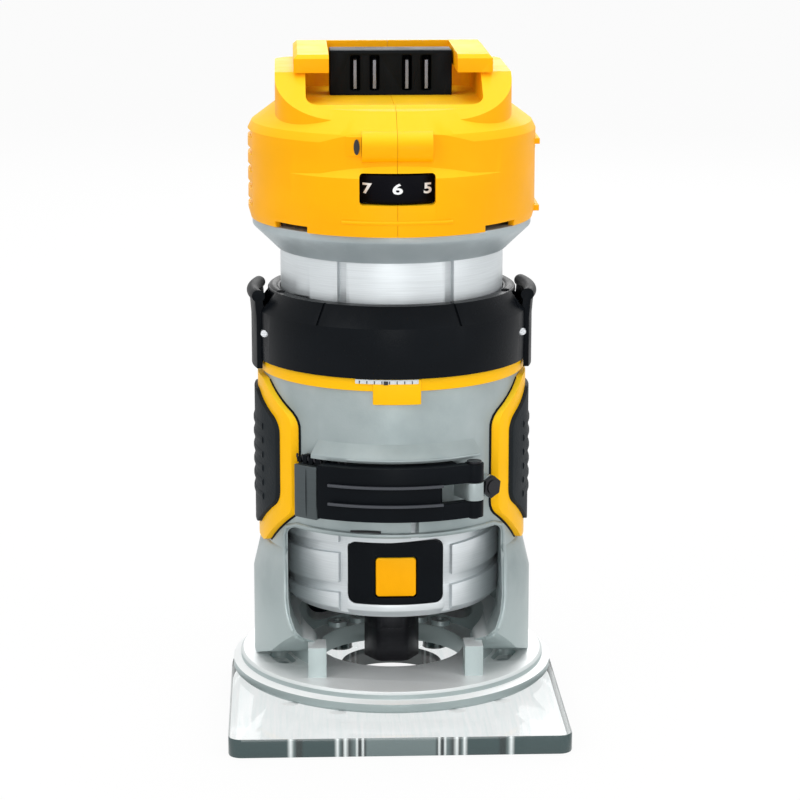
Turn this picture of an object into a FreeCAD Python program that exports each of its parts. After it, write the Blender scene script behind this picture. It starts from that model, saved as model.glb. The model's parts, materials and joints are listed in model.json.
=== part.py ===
"""Cordless trim router on a fixed base, without its battery.

Frame: +Z up, the operator stands at -Y, and the origin is on the spindle axis at the plane of the sole.
Every sub-part is one solid or one set of like solids, written to parts/NODE.step.
"""

import FreeCAD, Part
import math
import os

V = FreeCAD.Vector
CENTRE = V(0, 0, 0)
UP = V(0, 0, 1)
RIGHT = V(1, 0, 0)
BACK = V(0, 1, 0)

# Fits between pieces
SLIDE_FIT = 0.1  # motor body in the base bore, radial
PIN_FIT = 0.05  # hinge pins in their holes, radial
SEAT_GAP = 0.1  # between a piece and its seat on the same body
RUN_GAP = 0.3  # between pieces that move past each other

# Clear sole plate
SOLE_THICKNESS = 6.0
SOLE_RADIUS = 51.2
SOLE_FRONT = 71.0
SOLE_CORNER = 4.0
SOLE_BORE_RADIUS = 15.875

# Base casting
FLANGE_RADIUS = 50.6
FLANGE_THICKNESS = 6.0
FLANGE_BORE_RADIUS = 23.0
FLANGE_EDGE = 0.8
FLANGE_STEP_WIDTH = 2.4
FLANGE_STEP_HEIGHT = 3.0
SHIELD_BOSS_RADIUS = 3.1
SHIELD_BOSS_CIRCLE = 26.3
SHIELD_BOSS_HEIGHT = 1.6
SHIELD_BOSS_ANGLES = (50.0, 68.0, 112.0, 130.0)
SHIELD_BOSS_HOLE_RADIUS = 1.3
SHIELD_BOSS_HOLE_DEPTH = 3.0
LEG_RADIUS = 43.8
LEG_SHOULDER_Z = 39.0
LEG_SHOULDER_STEP = 1.6
TUBE_RADIUS = 40.0
TUBE_SHOULDER_Z = 50.0
TUBE_TOP_Z = 104.0
NECK_RADIUS = 38.9
NECK_GROOVE_RADIUS = 37.7
LIP_THICKNESS = 1.8
NECK_GROOVE_HEIGHT = 2.3
FOOT_BORE_RADIUS = 29.5
FOOT_CURB_RADIUS = 33.0
FOOT_CURB_TOP_Z = 20.5
FOOT_BORE_TOP_Z = 24.2
FOOT_FRONT = 7.0
FOOT_SWEEP = 21.0
FOOT_SWEEP_Z = 17.0
LEG_SWEEP = 30.5
LEG_SWEEP_Z = 25.0
LEG_FRONT = 38.0
LEG_FRONT_Z = 40.0
WINDOW_TOP_Z = 58.2
WINDOW_HALF_TOP = 33.0
WINDOW_HALF_FOOT = 24.0
WINDOW_SILL_Z = 21.5
WINDOW_SLOPE_Z = 36.0
WINDOW_CORNER = 6.0
REAR_WINDOW_HALF = 27.0
REAR_WINDOW_FOOT_Z = 14.0
REAR_WINDOW_TOP_Z = 58.0
POST_X = 24.2
POST_WIDTH = 5.6
POST_TOP_Z = 21.5
POST_FRONT = 33.0
POST_BACK = 24.0
LEDGE_FOOT_Z = 82.6
LEDGE_TOP_Z = 87.5
LEDGE_RADIUS = 44.0
LEDGE_HALF_ANGLE = 36.0
POCKET_LENGTH = 12.5
POCKET_WIDTH = 6.0
POCKET_DEPTH = 2.0
SLIT_WIDTH = 2.4
SLIT_ANGLE = 8.0

# Sole screws
SOLE_SCREW_CIRCLE = 37.2
SOLE_SCREW_ANGLES = (-20.0, 65.0, 115.0, 200.0)
SOLE_SCREW_RADIUS = 2.0
SOLE_SCREW_HEAD_RADIUS = 3.8
SOLE_SCREW_HEAD_HEIGHT = 2.2
SOLE_SCREW_RECESS = 0.6
SOLE_KEY_FLATS = 3.0
SOLE_KEY_DEPTH = 0.6

# Side grips and their trims
GRIP_THICKNESS = 2.9
TRIM_THICKNESS = 1.8
TRIM_WIDTH = 4.6
TRIM_HALF_WIDTH = 27.4
TRIM_TAPER = 15.5
TRIM_TOP_Z = 102.6
TRIM_LIFT = 0.3
GRIP_WAIST_FOOT_Z = 63.5
GRIP_WAIST_TOP_Z = 93.0
GRIP_CORNER = 6.0

# Rear chip shield
SHIELD_THICKNESS = 2.0

# Locking lever
LEVER_FOOT_Z = 65.4
LEVER_TOP_Z = 81.8
LEVER_RADIUS = 48.0
LEVER_THICKNESS = 3.4
LEVER_WEB = 2.0
LEVER_LEFT_ANGLE = 30.0
LEVER_RIGHT_ANGLE = 24.0
LEVER_BACK_RADIUS = 41.2
PIVOT_ANGLE = 30.0
PIVOT_RADIUS = 46.6
PIVOT_EYE_RADIUS = 2.9
PIVOT_PIN_RADIUS = 1.5
PIVOT_PIN_HEAD = 0.7
FORK_FOOT_Z = 70.3
FORK_TOP_Z = 76.3
FORK_REACH = 12.0
CLAMP_BOLT_RADIUS = 2.2
CLAMP_BOLT_ANGLE = 38.5
CLAMP_BOLT_Z = 73.3
CLAMP_BOSS_RADIUS = 3.4
CLAMP_BOSS_REACH = 45.6
CLAMP_NUT_FLATS = 6.0
CLAMP_NUT_HEIGHT = 1.4
STRAP_LEFT_ANGLE = 44.0
STRAP_RIGHT_ANGLE = 33.0
STRAP_RADIUS = 44.5
STRAP_FOOT_Z = 63.5
STRAP_TOP_Z = 80.0

# Fine scale ring
SCALE_FOOT_Z = 104.1
SCALE_TOP_Z = 107.9
SCALE_RADIUS = 41.2
SCALE_TAB_WIDTH = 14.6
SCALE_TAB_FOOT_Z = 100.1
SCALE_TAB_RADIUS = 41.8

# Depth ring, its release tabs and pins
RING_RADIUS = 42.5
RING_FOOT_Z = 108.2
RING_BAND_TOP_Z = 123.3
RING_TOP_Z = 129.4
RING_TOP_RADIUS = 37.0
RING_TOP_STEP = 1.2
RING_HORN_RADIUS = 38.0
RING_HORN_TIP_RADIUS = 1.8
RING_HORN_TIP_Z = 128.2
RING_MARK_ANGLES = (-34.0, 27.0)
RING_MARK_WIDTH = 0.8
RING_MARK_DEPTH = 0.7
THREAD_PITCH = 12.7
THREAD_FOOT_Z = 31.0
THREAD_TOP_Z = 128.2
GROOVE_WIDTH = 3.4
GROOVE_DEPTH = 1.6
RIB_WIDTH = 2.8
RIB_HEIGHT = 1.1
RIB_CENTRE_Z = 117.2
RIB_SPAN = 160.0
TAB_HALF_WIDTH = 12.4
TAB_FOOT_Z = 105.4
TAB_RADIUS = 43.7
TAB_INNER_RADIUS = 39.6
TAB_TAIL_RADIUS = 42.1
TAB_SHOULDER_Z = 121.0
TAB_HORN_TOP_Z = 128.0
TAB_HORN_TIP_RADIUS = 1.9
TAB_HORN_INNER_RADIUS = 41.4
TAB_HORN_RADIUS = 44.9
TAB_HORN_DRAW = 0.6
HOOK_REACH = 1.4
HOOK_THICKNESS = 1.2
TAB_EYE_WALL = 1.0
TAB_PIN_X = 39.6
TAB_PIN_Z = 117.0
TAB_PIN_RADIUS = 1.1
TAB_PIN_HALF_LENGTH = 15.6

# Motor
MOTOR_RADIUS = 34.5
CAN_WALL = 3.0
CAN_FOOT_Z = 31.0
CAN_TOP_Z = 149.0
CAN_CHAMFER = 2.5
CAN_FLOOR = 2.6
CAN_MOUTH_RADIUS = 10.5
KEYWAY_ANGLE = 28.0
KEYWAY_WIDTH = 3.0
KEYWAY_DEPTH = 1.6
COLLAR_FOOT_Z = 141.8
COLLAR_RADIUS = 43.0
COLLAR_LIP = 0.8
COLLAR_HIP_RADIUS = 38.6
COLLAR_HIP_Z = 145.0
COLLAR_SHOULDER_Z = 149.2
PANEL_HALF_WIDTH = 14.6
PANEL_FOOT_Z = 35.6
PANEL_TOP_Z = 55.2
PANEL_THICKNESS = 4.3
PANEL_SINK = 0.2
PANEL_CORNER = 2.6
BUTTON_SIZE = 12.4
BUTTON_Z = 44.2
BUTTON_FRONT = 33.7
BUTTON_THICKNESS = 3.0
BUTTON_CORNER = 1.2
LOCK_PIN_RADIUS = 2.0
LOCK_PIN_TIP = 14.4
LOCK_SPRING_RADIUS = 3.2
LOCK_SPRING_WIRE = 0.4

# Spindle
SPINDLE_RADIUS = 6.0
SPINDLE_TOP_Z = 120.0
COLLET_BORE_RADIUS = 3.175
COLLET_FOOT_Z = 10.2
NUT_RADIUS = 8.7
NUT_FOOT_Z = 8.7
NUT_HEIGHT = 20.0
NUT_HEX_HEIGHT = 11.0
HUB_RADIUS = 10.0
HUB_FOOT_Z = 43.0
HUB_TOP_Z = 48.5
FAN_RADIUS = 28.0
FAN_FOOT_Z = 53.4
FAN_HEIGHT = 7.0
FAN_BLADES = 11
ROTOR_RADIUS = 14.6
ROTOR_FOOT_Z = 66.0
ROTOR_TOP_Z = 98.0
STATOR_BORE_RADIUS = 15.2
WINDING_RADIUS = 27.0
WINDING_HEIGHT = 5.0
BEARING_RADIUS = 14.0
BEARING_HEIGHT = 8.0
BEARING_RACE = 2.0
BALL_RADIUS = 2.4
BALLS = 8
LOWER_BEARING_Z = 38.0
UPPER_BEARING_Z = 113.0
CARRIER_THICKNESS = 2.4
CARRIER_WALL = 2.0
BOARD_Z = 128.0
BOARD_THICKNESS = 1.6
POWER_PART_START = 12.0
POWER_PART_LENGTH = 12.0
POWER_PART_HALF_WIDTH = 4.0
POWER_PART_HEIGHT = 7.0

# Light ring in the foot of the motor
LED_BOARD_INNER_RADIUS = 19.0
LED_BOARD_RADIUS = 28.0
LED_BOARD_THICKNESS = 1.2
LED_CIRCLE = 23.5
LED_SINK = 0.2
LED_RADIUS = 2.6
LED_ANGLES = (-50.0, 230.0)

# Head
HEAD_FOOT_Z = 151.4
HEAD_RADIUS = 44.2
HEAD_WALL = 2.6
HEAD_SHOULDER_Z = 181.0
HEAD_SHOULDER_EDGE = 1.2
BROW_RADIUS = 60.0
BROW_FRONT = 42.4
CHIN_RADIUS = 41.0
CHIN_FRONT = 45.8
CHIN_TOP_Z = 168.6
CHIN_SLOPE = 4.6
NECK_HALF_WIDTH = 35.7
NECK_BACK = 38.0
NECK_FRONT = 33.5
NECK_CORNER = 9.0
NECK_FRONT_CORNER = 20.0
NECK_TOP_Z = 187.2
NECK_SLOPE_BACK = 11.0
LIP_FRONT_Z = 184.4
LIP_SIDE_Z = 196.4
HEAD_TOP_Z = 201.8
WELL_FLOOR_Z = 187.4
WELL_HALF_WIDTH = 26.5
WELL_FRONT = 26.4
WELL_BACK = 33.0
WELL_CORNER = 4.0
RAIL_HALF_GAP = 19.4
RAIL_HALF_WIDTH = 30.0
RAIL_FRONT = 14.0
RAIL_FOOT_Z = 196.4
RAIL_EDGE = 1.2
SEAM_GAP = 0.1
DIAL_RADIUS = 16.0
DIAL_CENTRE = 28.6
DIAL_Z = 165.4
DIAL_HEIGHT = 8.4
DIAL_WINDOW_HALF = 11.2
DIAL_WINDOW_HEIGHT = 9.4
DIAL_SHAFT_RADIUS = 3.0
DIAL_CASE_RADIUS = 8.0
DIAL_CASE_HEIGHT = 5.0
DIAL_CASE_DRAW = 3.0
DIAL_POST_HALF_WIDTH = 5.0
DIAL_POST_FRONT = 22.0
DIAL_POST_BACK = 14.0
CLAMP_TUBE_RADIUS = 4.6
CLAMP_TUBE_Y = -41.0
CLAMP_TUBE_Z = 177.6
CLAMP_TUBE_HALF_LENGTH = 10.4
REAR_TUBE_RADIUS = 3.8
HEAD_SCREW_RADIUS = 1.6
HEAD_SCREW_HEAD_RADIUS = 2.6
HEAD_SCREW_HEAD_HEIGHT = 2.0
HEAD_SCREW_SINK = 1.5
HEAD_SCREW_REACH = 8.4
HEAD_SCREW_ROOM = 4.0
VENT_SLOTS = 5
VENT_PITCH = 5.2
VENT_HEIGHT = 2.2
VENT_FRONT = 15.0
VENT_THROUGH = 4.0
VENT_BACK = 22.0
VENT_GROOVE = 1.3
VENT_FOOT_Z = 155.6
NOTCH_ANGLE = 45.5
NOTCH_WIDTH = 14.5
NOTCH_HEIGHT = 1.9

# Power switch
SWITCH_Z = 164.4
SWITCH_HALF_HEIGHT = 9.4
SWITCH_HALF_WIDTH = 5.6
BEZEL_WALL = 1.8
BEZEL_OUTER_X = 45.1
BEZEL_SIDE_DROP = 1.5
BEZEL_INNER_X = 36.5
ROCKER_PIVOT_X = 40.4
ROCKER_PIVOT_RADIUS = 1.4
ROCKER_TILT = 12.0

# Battery terminals
TERMINAL_HALF_WIDTH = 18.9
TERMINAL_FRONT = 6.0
TERMINAL_BACK = 18.0
TERMINAL_TOP_Z = 201.2
BLADE_INNER_X = 5.0
BLADE_OUTER_X = 11.0
BLADE_THICKNESS = 0.9
BLADE_ROOM = 1.0
BLADE_SINK = 0.5
BLADE_LIFT = 2.0
BLADE_DROP = 3.0
TERMINAL_WEB = 4.0
TERMINAL_WALL = 1.5


# Shapes used by many pieces


def polar(radius, angle, z=0.0):
    """Point RADIUS from the spindle axis, at ANGLE degrees from +X and height Z."""
    turn = math.radians(angle)
    return V(radius * math.cos(turn), radius * math.sin(turn), z)


def front(angle):
    """Direction in degrees from +X of what stands ANGLE degrees to the right of the front."""
    return angle - 90.0


def rod(radius, foot, top, x=0.0, y=0.0):
    """Upright cylinder between the heights FOOT and TOP."""
    return Part.makeCylinder(radius, top - foot, V(x, y, foot))


def bar(radius, start, end):
    """Cylinder from one point to another."""
    return Part.makeCylinder(radius, start.distanceToPoint(end), start, end - start)


def block(x_range, y_range, z_range):
    """Box between pairs of limits."""
    size = [high - low for low, high in (x_range, y_range, z_range)]
    return Part.makeBox(size[0], size[1], size[2], V(x_range[0], y_range[0], z_range[0]))


def sector(profile, start=0.0, sweep=360.0):
    """PROFILE of (radius, z) points swept about the spindle axis from START by SWEEP degrees."""
    points = [V(radius, 0, z) for radius, z in profile]
    face = Part.Face(Part.makePolygon(points + points[:1]))
    face.rotate(CENTRE, UP, start)
    return face.revolve(CENTRE, UP, sweep)


def shell(inner, outer, foot, top, middle=0.0, half_sweep=180.0):
    """Ring wall, or the part of one that reaches HALF_SWEEP degrees each side of MIDDLE."""
    profile = [(inner, foot), (outer, foot), (outer, top), (inner, top)]
    return sector(profile, middle - half_sweep, 2 * half_sweep)


def rounded_face(points, radius):
    """Face inside the polygon POINTS, each corner rounded to RADIUS."""
    edges = []
    ends = []
    for i, corner in enumerate(points):
        before = (points[i - 1] - corner).normalize()
        after = (points[(i + 1) % len(points)] - corner).normalize()
        half = before.getAngle(after) / 2
        reach = radius / math.tan(half)
        inward = (before + after).normalize()
        middle = corner + inward * (radius / math.sin(half) - radius)
        start = corner + before * reach
        end = corner + after * reach
        edges.append(Part.Arc(start, middle, end).toShape())
        ends.append((start, end))
    for i in range(len(points)):
        start = ends[i - 1][1]
        end = ends[i][0]
        if start.distanceToPoint(end) > 1e-6:
            edges.append(Part.LineSegment(start, end).toShape())
    wire = Part.Wire(Part.__sortEdges__(edges))
    return Part.Face(wire)


def prism_y(outline, y_range, radius):
    """Rounded outline of (x, z) points carried along Y."""
    points = [V(x, y_range[0], z) for x, z in outline]
    return rounded_face(points, radius).extrude(BACK * (y_range[1] - y_range[0]))


def prism_x(outline, x_range, radius):
    """Rounded outline of (y, z) points carried along X."""
    points = [V(x_range[0], y, z) for y, z in outline]
    return rounded_face(points, radius).extrude(RIGHT * (x_range[1] - x_range[0]))


def prism_z(outline, z_range, radius):
    """Rounded outline of (x, y) points carried along Z."""
    points = [V(x, y, z_range[0]) for x, y in outline]
    return rounded_face(points, radius).extrude(UP * (z_range[1] - z_range[0]))


def mirrored_x(shape):
    """The same shape on the other side of the spindle axis, left for right."""
    return shape.mirror(CENTRE, RIGHT)


def hexagon(flats, foot, height, place, direction):
    """Hexagonal prism of FLATS across flats, standing FOOT along DIRECTION from PLACE."""
    corner = flats / math.sqrt(3)
    points = [V(corner * math.cos(k * math.pi / 3), corner * math.sin(k * math.pi / 3), 0) for k in range(7)]
    prism = Part.Face(Part.makePolygon(points)).extrude(UP * height)
    prism.translate(UP * foot)
    prism.Placement = FreeCAD.Placement(place, FreeCAD.Rotation(UP, direction)).multiply(prism.Placement)
    return prism


def helical_bar(inner, outer, width, foot, turns, start):
    """Square thread form of WIDTH along the axis, its middle starting at height FOOT and angle START."""
    spine = Part.makeHelix(THREAD_PITCH, THREAD_PITCH * turns, inner)
    corners = [
        V(inner, 0, -width / 2),
        V(outer, 0, -width / 2),
        V(outer, 0, width / 2),
        V(inner, 0, width / 2),
    ]
    profile = Part.makePolygon(corners + corners[:1])
    thread = Part.Wire(spine).makePipeShell([profile], True, True)
    thread.rotate(CENTRE, UP, start)
    thread.translate(UP * foot)
    return thread


def save(shapes, name):
    """Writes one node's solids to its STEP file."""
    solids = [solid for shape in shapes for solid in shape.Solids]
    shape = solids[0] if len(solids) == 1 else Part.makeCompound(solids)
    if not shape.isValid():
        print("invalid shape:", name)
    shape.exportStep("parts/" + name + ".step")


# Base: what stands on the work and holds the motor


def sole_screw_places():
    """Foot of each screw that holds the sole plate, on the sole plane."""
    return [polar(SOLE_SCREW_CIRCLE, angle) for angle in SOLE_SCREW_ANGLES]


def sub_base():
    """Clear plate with a square front, a round back, the bit opening and countersunk screw holes."""
    width = SOLE_RADIUS
    square = [(-width, -SOLE_FRONT), (width, -SOLE_FRONT), (width, width), (-width, width)]
    plate = prism_z(square, (0, SOLE_THICKNESS), SOLE_CORNER)
    back = block((-2 * width, 2 * width), (0, 2 * width), (-1, SOLE_THICKNESS + 1))
    plate = plate.cut(back.cut(rod(width, -2, SOLE_THICKNESS + 2)))
    plate = plate.cut(rod(SOLE_BORE_RADIUS, -1, SOLE_THICKNESS + 1))
    head_top = SOLE_SCREW_RECESS + SOLE_SCREW_HEAD_HEIGHT
    for place in sole_screw_places():
        plate = plate.cut(rod(SOLE_SCREW_RADIUS + SEAT_GAP, -1, SOLE_THICKNESS + 1, place.x, place.y))
        plate = plate.cut(rod(SOLE_SCREW_HEAD_RADIUS + SEAT_GAP, -1, head_top, place.x, place.y))
    return plate


def sole_screws():
    """Screws that hold the sole plate up against the flange."""
    screws = []
    for place in sole_screw_places():
        head_top = SOLE_SCREW_RECESS + SOLE_SCREW_HEAD_HEIGHT
        head = rod(SOLE_SCREW_HEAD_RADIUS, SOLE_SCREW_RECESS, head_top, place.x, place.y)
        key = V(place.x, place.y, SOLE_SCREW_RECESS - SOLE_KEY_DEPTH)
        head = head.cut(hexagon(SOLE_KEY_FLATS, 0, 2 * SOLE_KEY_DEPTH, key, UP))
        tip = SOLE_THICKNESS + FLANGE_THICKNESS - POCKET_DEPTH
        screws.append(head.fuse(rod(SOLE_SCREW_RADIUS, head_top - 0.5, tip, place.x, place.y)).removeSplitter())
    return screws


def lever_pivot():
    """Middle of the lever's hinge pin at height zero."""
    return polar(PIVOT_RADIUS, front(PIVOT_ANGLE))


def front_window():
    """Cutter of the front window that shows the collet and the foot of the motor."""
    flange_top = SOLE_THICKNESS + FLANGE_THICKNESS
    width = WINDOW_HALF_TOP - WINDOW_HALF_FOOT
    height = WINDOW_SLOPE_Z - WINDOW_SILL_Z
    bend = [math.radians(angle) for angle in (60, 40, 20, 0)]
    right = [(WINDOW_HALF_FOOT, flange_top - WINDOW_CORNER), (WINDOW_HALF_FOOT, WINDOW_SILL_Z)]
    right += [(WINDOW_HALF_FOOT + width * math.cos(a), WINDOW_SLOPE_Z - height * math.sin(a)) for a in bend]
    right.append((WINDOW_HALF_TOP, WINDOW_TOP_Z))
    left = [(-x, z) for x, z in reversed(right)]
    window = prism_y(right + left, (-2 * LEG_RADIUS, 0), WINDOW_CORNER / 2)
    floor = block((-LEG_RADIUS, LEG_RADIUS), (-2 * LEG_RADIUS, LEG_RADIUS), (0, flange_top))
    return window.cut(floor)


def rear_window_outline(margin):
    """Outline of the rear window, drawn in by MARGIN."""
    half = REAR_WINDOW_HALF - margin
    foot = REAR_WINDOW_FOOT_Z + margin
    top = REAR_WINDOW_TOP_Z - margin
    return [(-half, foot), (half, foot), (half, top), (-half, top)]


def leg_front_cut():
    """Cutter that draws the feet of the legs back from the front of the flange."""
    flange_top = SOLE_THICKNESS + FLANGE_THICKNESS
    far = -2 * LEG_RADIUS
    outline = [
        V(-far, far, flange_top),
        V(-far, -FOOT_FRONT, flange_top),
        V(-far, -FOOT_SWEEP, FOOT_SWEEP_Z),
        V(-far, -LEG_SWEEP, LEG_SWEEP_Z),
        V(-far, -LEG_FRONT, LEG_FRONT_Z),
        V(-far, far, LEG_FRONT_Z),
    ]
    cut = Part.Face(Part.makePolygon(outline + outline[:1])).extrude(RIGHT * 2 * far)
    return cut.cut(rod(FOOT_CURB_RADIUS, 0, FOOT_CURB_TOP_Z))


def flange_pocket(angle):
    """Oblong pocket in the flange's top around a screw, along the flange's edge."""
    flange_top = SOLE_THICKNESS + FLANGE_THICKNESS
    half = POCKET_WIDTH / 2
    reach = POCKET_LENGTH / 2 - half
    floor = flange_top - POCKET_DEPTH
    slot = block((-half, half), (-reach, reach), (floor, flange_top + 1))
    slot = slot.fuse(rod(half, floor, flange_top + 1, 0, -reach)).fuse(rod(half, floor, flange_top + 1, 0, reach))
    slot.translate(V(SOLE_SCREW_CIRCLE, 0, 0))
    slot.rotate(CENTRE, UP, angle)
    return slot


def casting_body():
    """Flange, legs, clamping tube and neck turned in one, before the windows are cut."""
    flange_foot = SOLE_THICKNESS
    flange_top = SOLE_THICKNESS + FLANGE_THICKNESS
    step_radius = FLANGE_RADIUS - FLANGE_STEP_WIDTH
    groove_top = SCALE_TOP_Z + NECK_GROOVE_HEIGHT
    outer = [
        (0, flange_foot),
        (FLANGE_RADIUS - FLANGE_EDGE, flange_foot),
        (FLANGE_RADIUS, flange_foot + FLANGE_EDGE),
        (FLANGE_RADIUS, flange_foot + FLANGE_STEP_HEIGHT),
        (step_radius, flange_foot + FLANGE_STEP_HEIGHT + FLANGE_EDGE),
        (step_radius, flange_top - FLANGE_EDGE),
        (step_radius - FLANGE_EDGE, flange_top),
        (LEG_RADIUS, flange_top),
        (LEG_RADIUS, LEG_SHOULDER_Z),
        (TUBE_RADIUS + LEG_SHOULDER_STEP, TUBE_SHOULDER_Z - LEG_SHOULDER_STEP),
        (TUBE_RADIUS, TUBE_SHOULDER_Z),
        (TUBE_RADIUS, TUBE_TOP_Z),
        (NECK_RADIUS, TUBE_TOP_Z),
        (NECK_RADIUS, SCALE_TOP_Z),
        (NECK_GROOVE_RADIUS, SCALE_TOP_Z),
        (NECK_GROOVE_RADIUS, groove_top),
        (NECK_RADIUS, groove_top),
        (NECK_RADIUS, groove_top + LIP_THICKNESS),
        (0, groove_top + LIP_THICKNESS),
    ]
    bore = MOTOR_RADIUS + SLIDE_FIT
    cavity = [
        (0, flange_foot - 1),
        (FLANGE_BORE_RADIUS, flange_foot - 1),
        (FLANGE_BORE_RADIUS, flange_top),
        (FOOT_BORE_RADIUS, flange_top),
        (FOOT_BORE_RADIUS, FOOT_BORE_TOP_Z),
        (bore, FOOT_BORE_TOP_Z),
        (bore, groove_top + 5),
        (0, groove_top + 5),
    ]
    return sector(outer).cut(sector(cavity))


def base_casting():
    """The cast base in one piece."""
    flange_top = SOLE_THICKNESS + FLANGE_THICKNESS
    body = casting_body().cut(leg_front_cut()).cut(front_window())
    body = body.cut(prism_y(rear_window_outline(0.0), (0, 2 * LEG_RADIUS), WINDOW_CORNER))
    for side in (-1, 1):
        x_range = (side * POST_X - POST_WIDTH / 2, side * POST_X + POST_WIDTH / 2)
        body = body.fuse(block(x_range, (-POST_FRONT, -POST_BACK), (flange_top - 1, POST_TOP_Z)))
    ledge = [
        (TUBE_RADIUS - 1, LEDGE_FOOT_Z),
        (LEDGE_RADIUS, LEDGE_FOOT_Z),
        (LEDGE_RADIUS, LEDGE_FOOT_Z + 1.2),
        (TUBE_RADIUS, LEDGE_TOP_Z),
        (TUBE_RADIUS - 1, LEDGE_TOP_Z),
    ]
    body = body.fuse(sector(ledge, front(-LEDGE_HALF_ANGLE), 2 * LEDGE_HALF_ANGLE))
    body = body.fuse(pivot_lug()).fuse(clamp_boss())
    z_range = (WINDOW_TOP_Z - 2, LEDGE_FOOT_Z - 2)
    slit = block((-SLIT_WIDTH / 2, SLIT_WIDTH / 2), (-LEG_RADIUS, -MOTOR_RADIUS + 1), z_range)
    slit.rotate(CENTRE, UP, SLIT_ANGLE)
    body = body.cut(slit)
    pivot = lever_pivot()
    body = body.cut(rod(PIVOT_PIN_RADIUS, FORK_FOOT_Z, FORK_TOP_Z, pivot.x, pivot.y))
    for angle, place in zip(SOLE_SCREW_ANGLES, sole_screw_places()):
        body = body.cut(flange_pocket(angle))
        body = body.cut(rod(SOLE_SCREW_RADIUS + SEAT_GAP, SOLE_THICKNESS - 1, flange_top, place.x, place.y))
    for angle in SHIELD_BOSS_ANGLES:
        place = polar(SHIELD_BOSS_CIRCLE, angle)
        top = flange_top + SHIELD_BOSS_HEIGHT
        body = body.fuse(rod(SHIELD_BOSS_RADIUS, flange_top - 1, top, place.x, place.y))
        body = body.cut(rod(SHIELD_BOSS_HOLE_RADIUS, top - SHIELD_BOSS_HOLE_DEPTH, top + 1, place.x, place.y))
    return body.cut(clamp_bolt_hole()).removeSplitter()


def pivot_lug():
    """Lug that carries the lever's hinge pin."""
    foot = FORK_FOOT_Z + RUN_GAP
    top = FORK_TOP_Z - RUN_GAP
    lug = block((TUBE_RADIUS - 2, PIVOT_RADIUS), (-PIVOT_EYE_RADIUS, PIVOT_EYE_RADIUS), (foot, top))
    lug = lug.fuse(rod(PIVOT_EYE_RADIUS, foot, top, PIVOT_RADIUS, 0))
    lug.rotate(CENTRE, UP, front(PIVOT_ANGLE))
    return lug


def clamp_boss():
    """Round boss that takes the clamp bolt, with its hole."""
    angle = front(CLAMP_BOLT_ANGLE)
    start = polar(TUBE_RADIUS - 1, angle, CLAMP_BOLT_Z)
    end = polar(CLAMP_BOSS_REACH, angle, CLAMP_BOLT_Z)
    return bar(CLAMP_BOSS_RADIUS, start, end)


def clamp_bolt_hole():
    """Blind hole in the boss for the clamp bolt."""
    angle = front(CLAMP_BOLT_ANGLE)
    start = polar(MOTOR_RADIUS + 2, angle, CLAMP_BOLT_Z)
    return bar(CLAMP_BOLT_RADIUS, start, polar(CLAMP_BOSS_REACH + 1, angle, CLAMP_BOLT_Z))


def side_outline(margin):
    """Outline of a grip's frame from the side, drawn in by MARGIN: tall sides that taper to its ends."""
    half = TRIM_HALF_WIDTH - margin
    narrow = half - TRIM_TAPER
    right = [
        (narrow, TUBE_SHOULDER_Z + TRIM_LIFT + margin),
        (half, GRIP_WAIST_FOOT_Z + margin / 2),
        (half, GRIP_WAIST_TOP_Z - margin / 2),
        (narrow, TRIM_TOP_Z - margin),
    ]
    return right + [(-y, z) for y, z in reversed(right)]


def grip_trim():
    """Coloured frame round the right grip, on the tube's wall."""
    inner = TUBE_RADIUS + SEAT_GAP
    wall = shell(inner, inner + TRIM_THICKNESS, TUBE_SHOULDER_Z, TUBE_TOP_Z)
    x_range = (0, 2 * TUBE_RADIUS)
    frame = wall.common(prism_x(side_outline(0.0), x_range, GRIP_CORNER))
    return frame.cut(prism_x(side_outline(TRIM_WIDTH), x_range, GRIP_CORNER))


def grip():
    """Rubber pad inside the right trim."""
    inner = TUBE_RADIUS + SEAT_GAP
    wall = shell(inner, inner + GRIP_THICKNESS, TUBE_SHOULDER_Z, TUBE_TOP_Z)
    return wall.common(prism_x(side_outline(TRIM_WIDTH + SEAT_GAP), (0, 2 * TUBE_RADIUS), GRIP_CORNER))


def chip_shield():
    """Dark guard that closes the rear window, with a rim over the window's edge."""
    inner = MOTOR_RADIUS + 2 * SLIDE_FIT + RUN_GAP
    wall = shell(inner, inner + SHIELD_THICKNESS, 0, 2 * REAR_WINDOW_TOP_Z)
    outline = rear_window_outline(SEAT_GAP)
    return wall.common(prism_y(outline, (0, 2 * LEG_RADIUS), WINDOW_CORNER))


def clamp_strap():
    """Steel strap whose end the lever draws up, round the tube's left front."""
    middle = front(-(STRAP_LEFT_ANGLE + STRAP_RIGHT_ANGLE) / 2)
    half = (STRAP_LEFT_ANGLE - STRAP_RIGHT_ANGLE) / 2
    return shell(TUBE_RADIUS + SEAT_GAP, STRAP_RADIUS, STRAP_FOOT_Z, STRAP_TOP_Z, middle, half)


def clamp_bolt():
    """Bolt in the boss at the lever's right, which sets the clamping force."""
    angle = front(CLAMP_BOLT_ANGLE)
    start = polar(MOTOR_RADIUS + 2.5, angle, CLAMP_BOLT_Z)
    end = polar(CLAMP_BOSS_REACH + CLAMP_NUT_HEIGHT + 0.4, angle, CLAMP_BOLT_Z)
    return bar(CLAMP_BOLT_RADIUS - PIN_FIT, start, end)


def clamp_nut():
    """Hexagonal nut on the clamp bolt, seated on the boss."""
    angle = front(CLAMP_BOLT_ANGLE)
    place = polar(CLAMP_BOSS_REACH, angle, CLAMP_BOLT_Z)
    direction = polar(1, angle)
    nut = hexagon(CLAMP_NUT_FLATS, 0, CLAMP_NUT_HEIGHT, place, direction)
    return nut.cut(bar(CLAMP_BOLT_RADIUS - PIN_FIT / 2, place - direction, place + direction * 3))


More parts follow.
